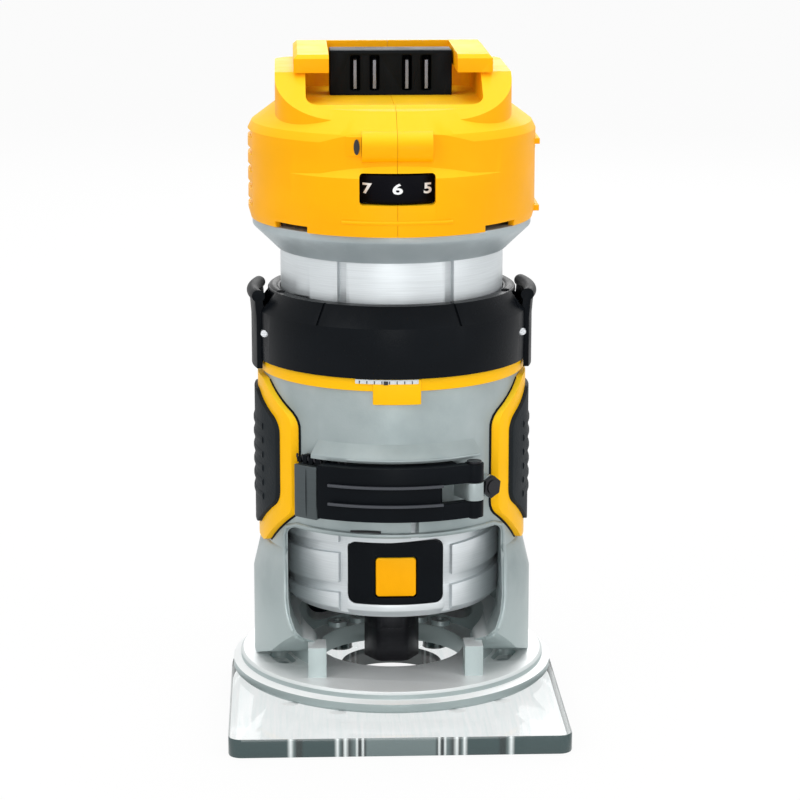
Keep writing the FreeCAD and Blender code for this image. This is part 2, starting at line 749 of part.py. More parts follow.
def lever_pin():
    """Hinge pin of the lever with its flat head, held in the lug."""
    pivot = lever_pivot()
    seat = LEVER_TOP_Z + PIN_FIT
    shank = rod(PIVOT_PIN_RADIUS, LEVER_FOOT_Z - PIVOT_PIN_HEAD, seat, pivot.x, pivot.y)
    return shank.fuse(rod(PIVOT_PIN_RADIUS + PIVOT_PIN_HEAD, seat, seat + PIVOT_PIN_HEAD, pivot.x, pivot.y))


def lock_lever():
    """Curved lever: a channel that closes over the tube's front, forked at its hinge end."""
    sweep = LEVER_LEFT_ANGLE + LEVER_RIGHT_ANGLE
    middle = front((LEVER_RIGHT_ANGLE - LEVER_LEFT_ANGLE) / 2)
    face = shell(LEVER_RADIUS - LEVER_THICKNESS, LEVER_RADIUS, LEVER_FOOT_Z, LEVER_TOP_Z, middle, sweep / 2)
    lever = face
    for foot in (LEVER_FOOT_Z, LEVER_TOP_Z - LEVER_WEB):
        lever = lever.fuse(shell(LEVER_BACK_RADIUS, LEVER_RADIUS - 1, foot, foot + LEVER_WEB, middle, sweep / 2))
    pivot = lever_pivot()
    end = polar(LEVER_RADIUS - LEVER_THICKNESS / 2, front(LEVER_RIGHT_ANGLE - 1))
    reach = (pivot - end).Length
    neck = block((0, reach), (-LEVER_THICKNESS / 2, LEVER_THICKNESS / 2), (LEVER_FOOT_Z, LEVER_TOP_Z))
    neck.rotate(CENTRE, UP, math.degrees(math.atan2(pivot.y - end.y, pivot.x - end.x)))
    neck.translate(end)
    lever = lever.fuse(neck).fuse(rod(PIVOT_EYE_RADIUS, LEVER_FOOT_Z, LEVER_TOP_Z, pivot.x, pivot.y))
    fork = block((-FORK_REACH, 3 * PIVOT_EYE_RADIUS), (-9, 9), (FORK_FOOT_Z, FORK_TOP_Z))
    fork.rotate(CENTRE, UP, PIVOT_ANGLE)
    fork.translate(pivot)
    lever = lever.cut(fork)
    hole = rod(PIVOT_PIN_RADIUS + PIN_FIT, LEVER_FOOT_Z - 1, LEVER_TOP_Z + 1, pivot.x, pivot.y)
    return lever.cut(hole).removeSplitter()


# Ring pieces on top of the base


def scale_ring():
    """Ring that the fine scale is printed on, with a thumb tab, which turns on the neck."""
    ring = shell(NECK_RADIUS + SLIDE_FIT, SCALE_RADIUS, SCALE_FOOT_Z, SCALE_TOP_Z)
    half = math.degrees(math.asin(SCALE_TAB_WIDTH / 2 / SCALE_TAB_RADIUS))
    inner = TUBE_RADIUS + RUN_GAP
    tab = shell(inner, SCALE_TAB_RADIUS, SCALE_TAB_FOOT_Z, SCALE_TOP_Z, front(0), half)
    return ring.fuse(tab).removeSplitter()


def tab_pocket():
    """Cutter of the room for the right release tab in the depth ring."""
    half = TAB_HALF_WIDTH + RUN_GAP
    room = shell(RING_HORN_RADIUS, 2 * RING_RADIUS, RING_FOOT_Z - 1, TAB_HORN_TOP_Z + 1)
    room = room.common(block((0, 2 * RING_RADIUS), (-half, half), (0, 2 * RING_TOP_Z)))
    eye = TAB_PIN_RADIUS + TAB_EYE_WALL + RUN_GAP
    return room.fuse(bar(eye, V(TAB_PIN_X, -half, TAB_PIN_Z), V(TAB_PIN_X, half, TAB_PIN_Z)))


def ring_horn():
    """Rounded rim over the right pocket that the tab's horn is pressed towards."""
    half = TAB_HALF_WIDTH + RUN_GAP
    middle = RING_HORN_RADIUS - RING_HORN_TIP_RADIUS + 0.5
    tip = Part.makeTorus(middle, RING_HORN_TIP_RADIUS, V(0, 0, RING_HORN_TIP_Z))
    return tip.common(block((0, 2 * RING_RADIUS), (-half, half), (0, 2 * RING_TOP_Z)))


def thread_rib():
    """Length of thread rib in the ring's bore, round its front."""
    sweep = RIB_SPAN / 360
    foot = RIB_CENTRE_Z - THREAD_PITCH * sweep / 2
    inner = MOTOR_RADIUS - RIB_HEIGHT
    return helical_bar(inner, MOTOR_RADIUS + 1.5, RIB_WIDTH, foot, sweep, front(-RIB_SPAN / 2))


def depth_ring():
    """Ring that turns on the base's neck and carries the motor by its thread ribs."""
    seat = SCALE_TOP_Z + NECK_GROOVE_HEIGHT + LIP_THICKNESS + SLIDE_FIT
    bore = MOTOR_RADIUS + RUN_GAP
    skirt = NECK_RADIUS + RUN_GAP
    profile = [
        (skirt, RING_FOOT_Z),
        (RING_RADIUS, RING_FOOT_Z),
        (RING_RADIUS, RING_BAND_TOP_Z),
        (RING_TOP_RADIUS + RING_TOP_STEP, RING_TOP_Z),
        (bore, RING_TOP_Z),
        (bore, seat),
        (skirt, seat),
    ]
    ring = sector(profile)
    for pocket in (tab_pocket(), mirrored_x(tab_pocket())):
        ring = ring.cut(pocket)
    skirt_hole = shell(NECK_RADIUS - 2, RING_HORN_RADIUS + 1, RING_FOOT_Z - 1, seat)
    half = TAB_HALF_WIDTH + RUN_GAP
    ring = ring.cut(skirt_hole.common(block((-60, 60), (-half, half), (0, 2 * seat))))
    ring = ring.fuse(thread_rib()).fuse(ring_horn()).fuse(mirrored_x(ring_horn()))
    for angle in RING_MARK_ANGLES:
        half = RING_MARK_WIDTH / 2
        profile = [
            (RING_RADIUS - RING_MARK_DEPTH, RING_BAND_TOP_Z),
            (RING_TOP_RADIUS + RING_TOP_STEP - RING_MARK_DEPTH, RING_TOP_Z),
            (2 * RING_RADIUS, RING_TOP_Z),
            (2 * RING_RADIUS, RING_BAND_TOP_Z),
        ]
        mark = sector(profile, -5, 10).common(block((0, 2 * RING_RADIUS), (-half, half), (0, 2 * RING_TOP_Z)))
        mark.rotate(CENTRE, UP, front(angle))
        ring = ring.cut(mark)
    for side in (-1, 1):
        start = V(side * TAB_PIN_X, -TAB_PIN_HALF_LENGTH - 3, TAB_PIN_Z)
        end = V(side * TAB_PIN_X, TAB_PIN_HALF_LENGTH + 3, TAB_PIN_Z)
        ring = ring.cut(bar(TAB_PIN_RADIUS, start, end))
    return ring.removeSplitter()


def tab_pin(side):
    """Pin of the release tab on SIDE, held in the ring."""
    start = V(side * TAB_PIN_X, -TAB_PIN_HALF_LENGTH, TAB_PIN_Z)
    end = V(side * TAB_PIN_X, TAB_PIN_HALF_LENGTH, TAB_PIN_Z)
    return bar(TAB_PIN_RADIUS, start, end)


def release_tab():
    """Right release tab: a horn to press at the top, a hook under the neck's lip and a tail."""
    hook_top = SCALE_TOP_Z + NECK_GROOVE_HEIGHT - RUN_GAP
    hook_foot = hook_top - HOOK_THICKNESS
    profile = [
        (TAB_TAIL_RADIUS, TAB_FOOT_Z),
        (TAB_RADIUS, TAB_FOOT_Z),
        (TAB_RADIUS, TAB_SHOULDER_Z),
        (TAB_HORN_RADIUS - TAB_HORN_DRAW, TAB_HORN_TOP_Z),
        (TAB_HORN_INNER_RADIUS + TAB_HORN_DRAW, TAB_HORN_TOP_Z),
        (TAB_HORN_INNER_RADIUS, TAB_SHOULDER_Z),
        (TAB_INNER_RADIUS, TAB_SHOULDER_Z),
        (TAB_INNER_RADIUS, hook_top),
        (TAB_INNER_RADIUS - HOOK_REACH, hook_top),
        (TAB_INNER_RADIUS - HOOK_REACH, hook_foot),
        (TAB_TAIL_RADIUS, hook_foot),
    ]
    middle = (TAB_HORN_INNER_RADIUS + TAB_HORN_RADIUS) / 2
    tip = Part.makeTorus(middle, TAB_HORN_TIP_RADIUS, V(0, 0, TAB_HORN_TOP_Z))
    tab = sector(profile, -30, 60).fuse(tip)
    tab = tab.common(block((0, 60), (-TAB_HALF_WIDTH, TAB_HALF_WIDTH), (0, 2 * TAB_HORN_TOP_Z)))
    start = V(TAB_PIN_X, -2 * TAB_HALF_WIDTH, TAB_PIN_Z)
    end = V(TAB_PIN_X, 2 * TAB_HALF_WIDTH, TAB_PIN_Z)
    eye_radius = TAB_PIN_RADIUS + TAB_EYE_WALL
    eye = bar(eye_radius, V(TAB_PIN_X, -TAB_HALF_WIDTH, TAB_PIN_Z), V(TAB_PIN_X, TAB_HALF_WIDTH, TAB_PIN_Z))
    return tab.fuse(eye).cut(bar(TAB_PIN_RADIUS + PIN_FIT, start, end)).removeSplitter()


# Motor: the can and what is fixed in it


def front_panel_outline(margin):
    """Outline of the panel in the can's front, drawn in by MARGIN."""
    half = PANEL_HALF_WIDTH - margin
    foot = PANEL_FOOT_Z + margin
    top = PANEL_TOP_Z - margin
    return [(-half, foot), (half, foot), (half, top), (-half, top)]


def button_outline(margin):
    """Outline of the lock button, drawn in by MARGIN."""
    half = BUTTON_SIZE / 2 - margin
    return [(-half, BUTTON_Z - half), (half, BUTTON_Z - half), (half, BUTTON_Z + half), (-half, BUTTON_Z + half)]


def motor_can():
    """Threaded aluminium can with a floor, keyways for the guide pins and an opening for the panel."""
    bore = MOTOR_RADIUS - CAN_WALL
    outer = [
        (CAN_MOUTH_RADIUS, CAN_FOOT_Z),
        (MOTOR_RADIUS - CAN_CHAMFER, CAN_FOOT_Z),
        (MOTOR_RADIUS, CAN_FOOT_Z + CAN_CHAMFER),
        (MOTOR_RADIUS, CAN_TOP_Z),
        (bore, CAN_TOP_Z),
        (bore, CAN_FOOT_Z + CAN_FLOOR),
        (BEARING_RADIUS + CARRIER_WALL, CAN_FOOT_Z + CAN_FLOOR),
        (BEARING_RADIUS + CARRIER_WALL, LOWER_BEARING_Z + BEARING_HEIGHT / 2),
        (BEARING_RADIUS, LOWER_BEARING_Z + BEARING_HEIGHT / 2),
        (BEARING_RADIUS, LOWER_BEARING_Z - BEARING_HEIGHT / 2),
        (CAN_MOUTH_RADIUS, LOWER_BEARING_Z - BEARING_HEIGHT / 2),
    ]
    can = sector(outer)
    for angle in (front(-KEYWAY_ANGLE), front(KEYWAY_ANGLE)):
        half = KEYWAY_WIDTH / 2
        key = block((MOTOR_RADIUS - KEYWAY_DEPTH, 2 * MOTOR_RADIUS), (-half, half), (0, COLLAR_FOOT_Z))
        key.rotate(CENTRE, UP, angle)
        can = can.cut(key)
    depth = MOTOR_RADIUS - GROOVE_DEPTH
    foot = RIB_CENTRE_Z - THREAD_PITCH * math.floor((RIB_CENTRE_Z - THREAD_FOOT_Z) / THREAD_PITCH) - THREAD_PITCH
    turns = (THREAD_TOP_Z - foot) / THREAD_PITCH
    can = can.cut(helical_bar(depth, MOTOR_RADIUS + 1, GROOVE_WIDTH, foot, turns, front(0)))
    window = prism_y(front_panel_outline(-SEAT_GAP), (-2 * MOTOR_RADIUS, -BEARING_RADIUS - 4), PANEL_CORNER)
    can = can.cut(window.cut(rod(bore - 2, 0, PANEL_TOP_Z + 5)))
    for angle in LED_ANGLES:
        place = polar(LED_CIRCLE, angle)
        can = can.cut(rod(LED_RADIUS + SEAT_GAP, CAN_FOOT_Z - 1, CAN_FOOT_Z + CAN_FLOOR + 0.01, place.x, place.y))
    return can


def front_panel():
    """Black panel let into the can's front round the lock button."""
    radius = MOTOR_RADIUS - PANEL_SINK
    wall = shell(radius - PANEL_THICKNESS, radius, 0, 2 * PANEL_TOP_Z)
    panel = wall.common(prism_y(front_panel_outline(0.0), (-2 * MOTOR_RADIUS, 0), PANEL_CORNER))
    hole = prism_y(button_outline(-RUN_GAP), (-2 * MOTOR_RADIUS, 0), BUTTON_CORNER)
    panel = panel.cut(hole)
    back = -math.sqrt((radius - PANEL_THICKNESS) ** 2 - PANEL_HALF_WIDTH ** 2) + 2.5
    half = BUTTON_SIZE / 2 + 2
    plate = block((-half, half), (back - 2.0, back), (BUTTON_Z - half, BUTTON_Z + half))
    for side in (-1, 1):
        x_range = sorted((side * half, side * (half - 1.4)))
        post = block(x_range, (-(radius - PANEL_THICKNESS), back), (BUTTON_Z - half, BUTTON_Z + half))
        panel = panel.fuse(post)
    hole = bar(LOCK_PIN_RADIUS + PIN_FIT, V(0, back - 5, BUTTON_Z), V(0, back + 5, BUTTON_Z))
    return panel.fuse(plate).cut(hole).removeSplitter()


def panel_plate_front():
    """How far forward of the spindle axis the front of the panel's inner plate stands."""
    radius = MOTOR_RADIUS - PANEL_SINK
    return math.sqrt((radius - PANEL_THICKNESS) ** 2 - PANEL_HALF_WIDTH ** 2) - 0.5


def lock_button():
    """Spindle lock button with the pin that it pushes towards the hub."""
    cap = prism_y(button_outline(0.0), (-BUTTON_FRONT, -BUTTON_FRONT + BUTTON_THICKNESS), BUTTON_CORNER)
    tip = -LOCK_PIN_TIP
    return cap.fuse(bar(LOCK_PIN_RADIUS, V(0, -BUTTON_FRONT + 1, BUTTON_Z), V(0, tip, BUTTON_Z))).removeSplitter()


def lock_spring():
    """Spring round the lock pin, between the button and the panel's plate."""
    start = -BUTTON_FRONT + BUTTON_THICKNESS + SEAT_GAP
    end = -panel_plate_front() - SEAT_GAP
    turns = 4
    wire = LOCK_SPRING_WIRE
    pitch = (end - start - 2 * wire) / turns
    helix = Part.makeHelix(pitch, pitch * turns, LOCK_SPRING_RADIUS)
    circle = Part.Wire(Part.makeCircle(wire, V(LOCK_SPRING_RADIUS, 0, 0), BACK))
    spring = Part.Wire(helix).makePipeShell([circle], True, True)
    spring.rotate(CENTRE, RIGHT, -90)
    spring.translate(V(0, start + wire, BUTTON_Z))
    return spring


def collar():
    """Cast collar that the head stands on."""
    inner = MOTOR_RADIUS + SEAT_GAP / 2
    profile = [
        (inner, COLLAR_FOOT_Z),
        (inner + COLLAR_LIP, COLLAR_FOOT_Z),
        (COLLAR_HIP_RADIUS, COLLAR_HIP_Z),
        (COLLAR_RADIUS, COLLAR_SHOULDER_Z),
        (COLLAR_RADIUS, HEAD_FOOT_Z),
        (inner, HEAD_FOOT_Z),
    ]
    return sector(profile)


def bearing(middle, race_inner):
    """Inner race, outer race and balls of a bearing whose middle is at height MIDDLE."""
    foot = middle - BEARING_HEIGHT / 2
    top = middle + BEARING_HEIGHT / 2
    track = (race_inner + BEARING_RADIUS) / 2
    groove = Part.makeTorus(track, BALL_RADIUS + PIN_FIT, V(0, 0, middle))
    inner = shell(race_inner, race_inner + BEARING_RACE, foot, top).cut(groove)
    outer = shell(BEARING_RADIUS - BEARING_RACE, BEARING_RADIUS, foot, top).cut(groove)
    balls = []
    for k in range(BALLS):
        balls.append(Part.makeSphere(BALL_RADIUS, polar(track, 360.0 * k / BALLS, middle)))
    return inner, outer, balls


def stator_core():
    """Laminated stator with six slots."""
    core = shell(STATOR_BORE_RADIUS, MOTOR_RADIUS - CAN_WALL, ROTOR_FOOT_Z, ROTOR_TOP_Z)
    for k in range(6):
        slot = block((STATOR_BORE_RADIUS + 2, WINDING_RADIUS), (-3.5, 3.5), (ROTOR_FOOT_Z - 1, ROTOR_TOP_Z + 1))
        slot.rotate(CENTRE, UP, 60 * k)
        core = core.cut(slot)
    return core


def stator_windings():
    """Copper coils in the stator's slots, joined in a ring above and below it."""
    inner = STATOR_BORE_RADIUS + 2.5
    coils = []
    for k in range(6):
        coil = block((inner, WINDING_RADIUS - 0.5), (-3.2, 3.2), (ROTOR_FOOT_Z - 1, ROTOR_TOP_Z + 1))
        coil.rotate(CENTRE, UP, 60 * k)
        coils.append(coil)
    outer = WINDING_RADIUS - 0.5
    lower = shell(inner, outer, ROTOR_FOOT_Z - WINDING_HEIGHT, ROTOR_FOOT_Z - SEAT_GAP)
    upper = shell(inner, outer, ROTOR_TOP_Z + SEAT_GAP, ROTOR_TOP_Z + WINDING_HEIGHT)
    return lower.fuse([upper] + coils).removeSplitter()


def bearing_carrier():
    """Plate across the can that holds the upper bearing."""
    foot = UPPER_BEARING_Z - BEARING_HEIGHT / 2
    top = UPPER_BEARING_Z + BEARING_HEIGHT / 2
    plate = shell(BEARING_RADIUS, MOTOR_RADIUS - CAN_WALL, foot, foot + CARRIER_THICKNESS)
    return plate.fuse(shell(BEARING_RADIUS, BEARING_RADIUS + CARRIER_WALL, foot, top)).removeSplitter()


def led_board():
    """Ring board that the two lamps stand on, inside the can's foot."""
    foot = CAN_FOOT_Z + CAN_FLOOR
    return shell(LED_BOARD_INNER_RADIUS, LED_BOARD_RADIUS, foot, foot + LED_BOARD_THICKNESS)


def led_lenses():
    """Round lenses in the can's floor."""
    places = [polar(LED_CIRCLE, angle) for angle in LED_ANGLES]
    return [rod(LED_RADIUS, CAN_FOOT_Z + LED_SINK, CAN_FOOT_Z + CAN_FLOOR, p.x, p.y) for p in places]


def controller_board():
    """Round speed controller board above the motor, with its power parts."""
    radius = MOTOR_RADIUS - CAN_WALL - SEAT_GAP
    board = rod(radius, BOARD_Z, BOARD_Z + BOARD_THICKNESS)
    top = BOARD_Z + BOARD_THICKNESS
    for k in range(4):
        x_range = (POWER_PART_START, POWER_PART_START + POWER_PART_LENGTH)
        part = block(x_range, (-POWER_PART_HALF_WIDTH, POWER_PART_HALF_WIDTH), (top - 0.1, top + POWER_PART_HEIGHT))
        part.rotate(CENTRE, UP, 45 + 90 * k)
        board = board.fuse(part)
    return board.removeSplitter()


# Spindle: what the motor turns


def spindle_shaft():
    """Shaft from the collet to the upper bearing, with the hub that the lock acts on."""
    foot = NUT_FOOT_Z + NUT_HEIGHT
    profile = [
        (0, foot),
        (SPINDLE_RADIUS, foot),
        (SPINDLE_RADIUS, HUB_FOOT_Z - 0.5),
        (HUB_RADIUS, HUB_FOOT_Z - 0.5),
        (HUB_RADIUS, HUB_TOP_Z),
        (SPINDLE_RADIUS, HUB_TOP_Z),
        (SPINDLE_RADIUS, SPINDLE_TOP_Z),
        (0, SPINDLE_TOP_Z),
    ]
    return sector(profile)


def collet():
    """Slit collet sleeve that grips the cutter's shank."""
    top = NUT_FOOT_Z + NUT_HEIGHT
    body = rod(SPINDLE_RADIUS - 0.5, COLLET_FOOT_Z, top)
    body = body.cut(rod(COLLET_BORE_RADIUS, COLLET_FOOT_Z - 1, top + 1))
    for k in range(3):
        slit = block((0, 2 * SPINDLE_RADIUS), (-0.4, 0.4), (COLLET_FOOT_Z - 1, top - 5))
        slit.rotate(CENTRE, UP, 30 + 120 * k)
        body = body.cut(slit)
    return body


def collet_nut():
    """Nut that closes the collet: a hexagon below a round skirt."""
    hex_top = NUT_FOOT_Z + NUT_HEX_HEIGHT
    nut = rod(NUT_RADIUS, hex_top, NUT_FOOT_Z + NUT_HEIGHT)
    flats = 2 * NUT_RADIUS * math.cos(math.pi / 6) + 0.9
    head = hexagon(flats, 0, NUT_HEX_HEIGHT, V(0, 0, NUT_FOOT_Z), UP).common(rod(NUT_RADIUS, NUT_FOOT_Z, hex_top))
    nut = nut.fuse(head)
    bore = SPINDLE_RADIUS - 0.5 + SEAT_GAP
    nut = nut.cut(rod(bore, NUT_FOOT_Z + 1.4, NUT_FOOT_Z + NUT_HEIGHT + 1))
    return nut.cut(rod(COLLET_BORE_RADIUS + 0.4, NUT_FOOT_Z - 1, NUT_FOOT_Z + 2)).removeSplitter()


def rotor():
    """Rotor pressed on the shaft."""
    return shell(SPINDLE_RADIUS + PIN_FIT / 2, ROTOR_RADIUS, ROTOR_FOOT_Z, ROTOR_TOP_Z)


def cooling_fan():
    """Fan with straight blades on a hub."""
    fan = shell(SPINDLE_RADIUS + PIN_FIT / 2, SPINDLE_RADIUS + 3, FAN_FOOT_Z, FAN_FOOT_Z + FAN_HEIGHT)
    fan = fan.fuse(shell(SPINDLE_RADIUS + 1, FAN_RADIUS, FAN_FOOT_Z, FAN_FOOT_Z + 1.6))
    for k in range(FAN_BLADES):
        blade = block((SPINDLE_RADIUS + 2, FAN_RADIUS), (-0.6, 0.6), (FAN_FOOT_Z + 1, FAN_FOOT_Z + FAN_HEIGHT))
        blade.rotate(CENTRE, UP, 360 * k / FAN_BLADES)
        fan = fan.fuse(blade)
    return fan.removeSplitter()


# Head: the housing halves and what they carry


def battery_foot(margin, foot, top):
    """Upright shape under the battery, drawn in by MARGIN: wide round corners in front and small ones behind."""
    half = NECK_HALF_WIDTH - margin
    front_face = NECK_FRONT - margin
    back = NECK_BACK - margin
    corner = NECK_FRONT_CORNER - margin
    plan = [(-half, -front_face), (half, -front_face), (half, back), (-half, back)]
    solid = prism_z(plan, (foot, top), NECK_CORNER - margin)
    arc_y = -front_face + corner
    for side in (-1, 1):
        x_range = sorted((side * (half - corner), 2 * side * half))
        square = block(x_range, (-2 * front_face, arc_y), (foot - 1, top + 1))
        solid = solid.cut(square.cut(rod(corner, foot - 2, top + 2, side * (half - corner), arc_y)))
    return solid


def head_outer():
    """Outside of the head before it is hollowed: drum, chin, and the battery foot on top."""
    drum = [
        (0, HEAD_FOOT_Z),
        (HEAD_RADIUS - 0.8, HEAD_FOOT_Z),
        (HEAD_RADIUS, HEAD_FOOT_Z + 3),
        (HEAD_RADIUS, HEAD_SHOULDER_Z - 2 * HEAD_SHOULDER_EDGE),
        (HEAD_RADIUS - HEAD_SHOULDER_EDGE, HEAD_SHOULDER_Z),
        (NECK_HALF_WIDTH - 1, NECK_TOP_Z),
        (0, NECK_TOP_Z),
    ]
    brow = rod(BROW_RADIUS, HEAD_FOOT_Z - 1, NECK_TOP_Z + 1, 0, BROW_RADIUS - BROW_FRONT)
    chin_y = CHIN_RADIUS - CHIN_FRONT
    chin = rod(CHIN_RADIUS, HEAD_FOOT_Z, CHIN_TOP_Z, 0, chin_y)
    slope_radius = CHIN_RADIUS - CHIN_SLOPE
    chin = chin.fuse(Part.makeCone(CHIN_RADIUS, slope_radius, CHIN_SLOPE, V(0, chin_y, CHIN_TOP_Z)))
    neck = battery_foot(0.0, HEAD_SHOULDER_Z - 4, LIP_SIDE_Z)
    far = 2 * HEAD_RADIUS
    outline = [
        V(-far, -far, LIP_FRONT_Z),
        V(-far, -NECK_FRONT, LIP_FRONT_Z),
        V(-far, -NECK_SLOPE_BACK, LIP_SIDE_Z + 0.01),
        V(-far, -far, LIP_SIDE_Z + 0.01),
    ]
    slope = Part.Face(Part.makePolygon(outline + outline[:1])).extrude(RIGHT * 2 * far)
    rails = block(
        (-RAIL_HALF_WIDTH, RAIL_HALF_WIDTH), (-RAIL_FRONT, NECK_BACK - 2), (LIP_SIDE_Z - 0.01, HEAD_TOP_Z)
    )
    rails = rails.makeChamfer(RAIL_EDGE, [e for e in rails.Edges if e.BoundBox.ZMin > HEAD_TOP_Z - 0.1])
    return sector(drum).common(brow).fuse(chin).fuse(neck.cut(slope)).fuse(rails)


def battery_well():
    """Room that the battery's foot slides into from the front, below the rails."""
    far = 2 * HEAD_TOP_Z
    half = WELL_HALF_WIDTH
    plan = [(-half, -WELL_FRONT), (half, -WELL_FRONT), (half, WELL_BACK), (-half, WELL_BACK)]
    well = prism_z(plan, (WELL_FLOOR_Z, far), WELL_CORNER)
    for side in (-1, 1):
        x_range = sorted((side * RAIL_HALF_GAP, side * far))
        well = well.cut(block(x_range, (-RAIL_FRONT, far), (RAIL_FOOT_Z, 2 * far)))
    return well


def head_cavity():
    """Inside of the head, round the can's top and the electronics."""
    inner = HEAD_RADIUS - HEAD_WALL
    drum = [
        (0, HEAD_FOOT_Z - 1),
        (inner, HEAD_FOOT_Z - 1),
        (inner, HEAD_SHOULDER_Z - HEAD_WALL),
        (NECK_HALF_WIDTH - HEAD_WALL, NECK_TOP_Z - HEAD_WALL - 1),
        (0, NECK_TOP_Z - HEAD_WALL - 1),
    ]
    brow_y = BROW_RADIUS - BROW_FRONT
    brow = rod(BROW_RADIUS - HEAD_WALL, HEAD_FOOT_Z - 2, NECK_TOP_Z, 0, brow_y)
    return sector(drum).common(brow).fuse(battery_foot(HEAD_WALL, HEAD_SHOULDER_Z - 6, WELL_FLOOR_Z - HEAD_WALL))


def head_screw_places():
    """Middle on the seam and tube radius of each screw that joins the halves of the head."""
    back = NECK_BACK - REAR_TUBE_RADIUS
    low_back = HEAD_RADIUS - HEAD_WALL - REAR_TUBE_RADIUS + 1
    return [
        (V(0, CLAMP_TUBE_Y, CLAMP_TUBE_Z), CLAMP_TUBE_RADIUS),
        (V(0, back, CLAMP_TUBE_Z + 2), REAR_TUBE_RADIUS),
        (V(0, low_back, HEAD_FOOT_Z + 2 * REAR_TUBE_RADIUS), REAR_TUBE_RADIUS),
    ]


def head_screws():
    """Screws along X that draw the two halves together."""
    screws = []
    head_end = HEAD_SCREW_SINK + HEAD_SCREW_HEAD_HEIGHT
    for place, _ in head_screw_places():
        left = place - RIGHT * CLAMP_TUBE_HALF_LENGTH
        head = bar(HEAD_SCREW_HEAD_RADIUS, left + RIGHT * HEAD_SCREW_SINK, left + RIGHT * head_end)
        shank = bar(HEAD_SCREW_RADIUS, left + RIGHT * (head_end - 1), place + RIGHT * HEAD_SCREW_REACH)
        screws.append(head.fuse(shank).removeSplitter())
    return screws


def head_body():
    """Head in one piece, with its openings, before it is split at the seam."""
    head = head_outer().cut(head_cavity()).cut(battery_well())
    holes = []
    head_end = HEAD_SCREW_SINK + HEAD_SCREW_HEAD_HEIGHT
    for place, radius in head_screw_places():
        left = place - RIGHT * CLAMP_TUBE_HALF_LENGTH
        head = head.fuse(bar(radius, left, place + RIGHT * CLAMP_TUBE_HALF_LENGTH))
        holes.append(bar(HEAD_SCREW_RADIUS + PIN_FIT, left, place + RIGHT * HEAD_SCREW_REACH))
        holes.append(bar(HEAD_SCREW_HEAD_RADIUS + SEAT_GAP, left - RIGHT * HEAD_SCREW_ROOM, left + RIGHT * head_end))
    outer = HEAD_RADIUS * 2
    for hole in holes:
        head = head.cut(hole)
    half = DIAL_WINDOW_HALF
    low = DIAL_Z - DIAL_WINDOW_HEIGHT / 2
    high = DIAL_Z + DIAL_WINDOW_HEIGHT / 2
    window = prism_y([(-half, low), (half, low), (half, high), (-half, high)], (-outer, -HEAD_RADIUS / 2), 1.2)
    reach = DIAL_HEIGHT / 2 + RUN_GAP
    head = head.cut(window).cut(rod(DIAL_RADIUS + RUN_GAP, DIAL_Z - reach, DIAL_Z + reach, 0, -DIAL_CENTRE))
    for k in range(VENT_SLOTS):
        foot = VENT_FOOT_Z + k * VENT_PITCH
        z_range = (foot, foot + VENT_HEIGHT)
        head = head.cut(block((-outer, -HEAD_RADIUS / 2), (VENT_THROUGH, VENT_BACK), z_range))
        head = head.cut(block((-outer, -HEAD_RADIUS + VENT_GROOVE), (-VENT_FRONT, VENT_THROUGH), z_range))
    for angle in (NOTCH_ANGLE, -NOTCH_ANGLE, 180 - NOTCH_ANGLE, 180 + NOTCH_ANGLE):
        y_range = (-NOTCH_WIDTH / 2, NOTCH_WIDTH / 2)
        notch = block((HEAD_RADIUS / 2, outer), y_range, (HEAD_FOOT_Z - 1, HEAD_FOOT_Z + NOTCH_HEIGHT))
        notch.rotate(CENTRE, UP, front(angle))
        head = head.cut(notch)
    bezel = block((BEZEL_INNER_X, 2 * outer), switch_range(BEZEL_WALL + SEAT_GAP), switch_height(BEZEL_WALL + SEAT_GAP))
    terminal = terminal_body(SEAT_GAP)
    return head.cut(bezel).cut(terminal)


def housing(side):
    """Half of the head on SIDE of the seam."""
    far = 2 * HEAD_RADIUS
    x_range = sorted((side * SEAM_GAP / 2, side * far))
    return head_body().common(block(x_range, (-far, far), (0, 2 * HEAD_TOP_Z))).removeSplitter()


def speed_dial():
    """Thumbwheel of the speed control, with a finely ribbed rim."""
    foot = DIAL_Z - DIAL_HEIGHT / 2
    top = DIAL_Z + DIAL_HEIGHT / 2
    wheel = rod(DIAL_RADIUS, foot, top, 0, -DIAL_CENTRE)
    return wheel.cut(rod(DIAL_SHAFT_RADIUS + PIN_FIT, foot - 1, top + 1, 0, -DIAL_CENTRE))


def dial_control():
    """Speed control below the thumbwheel, whose shaft carries it, on a post from the controller board."""
    foot = BOARD_Z + BOARD_THICKNESS
    stem_top = DIAL_Z + DIAL_HEIGHT / 2 + 1
    case_top = DIAL_Z - DIAL_HEIGHT / 2 - RUN_GAP
    case = rod(DIAL_CASE_RADIUS, case_top - DIAL_CASE_HEIGHT, case_top, 0, DIAL_CASE_DRAW - DIAL_CENTRE)
    case = case.common(rod(MOTOR_RADIUS, 0, 2 * case_top))
    x_range = (-DIAL_POST_HALF_WIDTH, DIAL_POST_HALF_WIDTH)
    post = block(x_range, (-DIAL_POST_FRONT, -DIAL_POST_BACK), (foot, case_top - DIAL_CASE_HEIGHT + 1))
    return case.fuse(post).fuse(rod(DIAL_SHAFT_RADIUS, case_top - 1, stem_top, 0, -DIAL_CENTRE)).removeSplitter()


def switch_range(margin):
    """Front and back of the switch's opening, widened by MARGIN."""
    return (-SWITCH_HALF_WIDTH - margin, SWITCH_HALF_WIDTH + margin)


def switch_height(margin):
    """Foot and top of the switch's opening, heightened by MARGIN."""
    return (SWITCH_Z - SWITCH_HALF_HEIGHT - margin, SWITCH_Z + SWITCH_HALF_HEIGHT + margin)


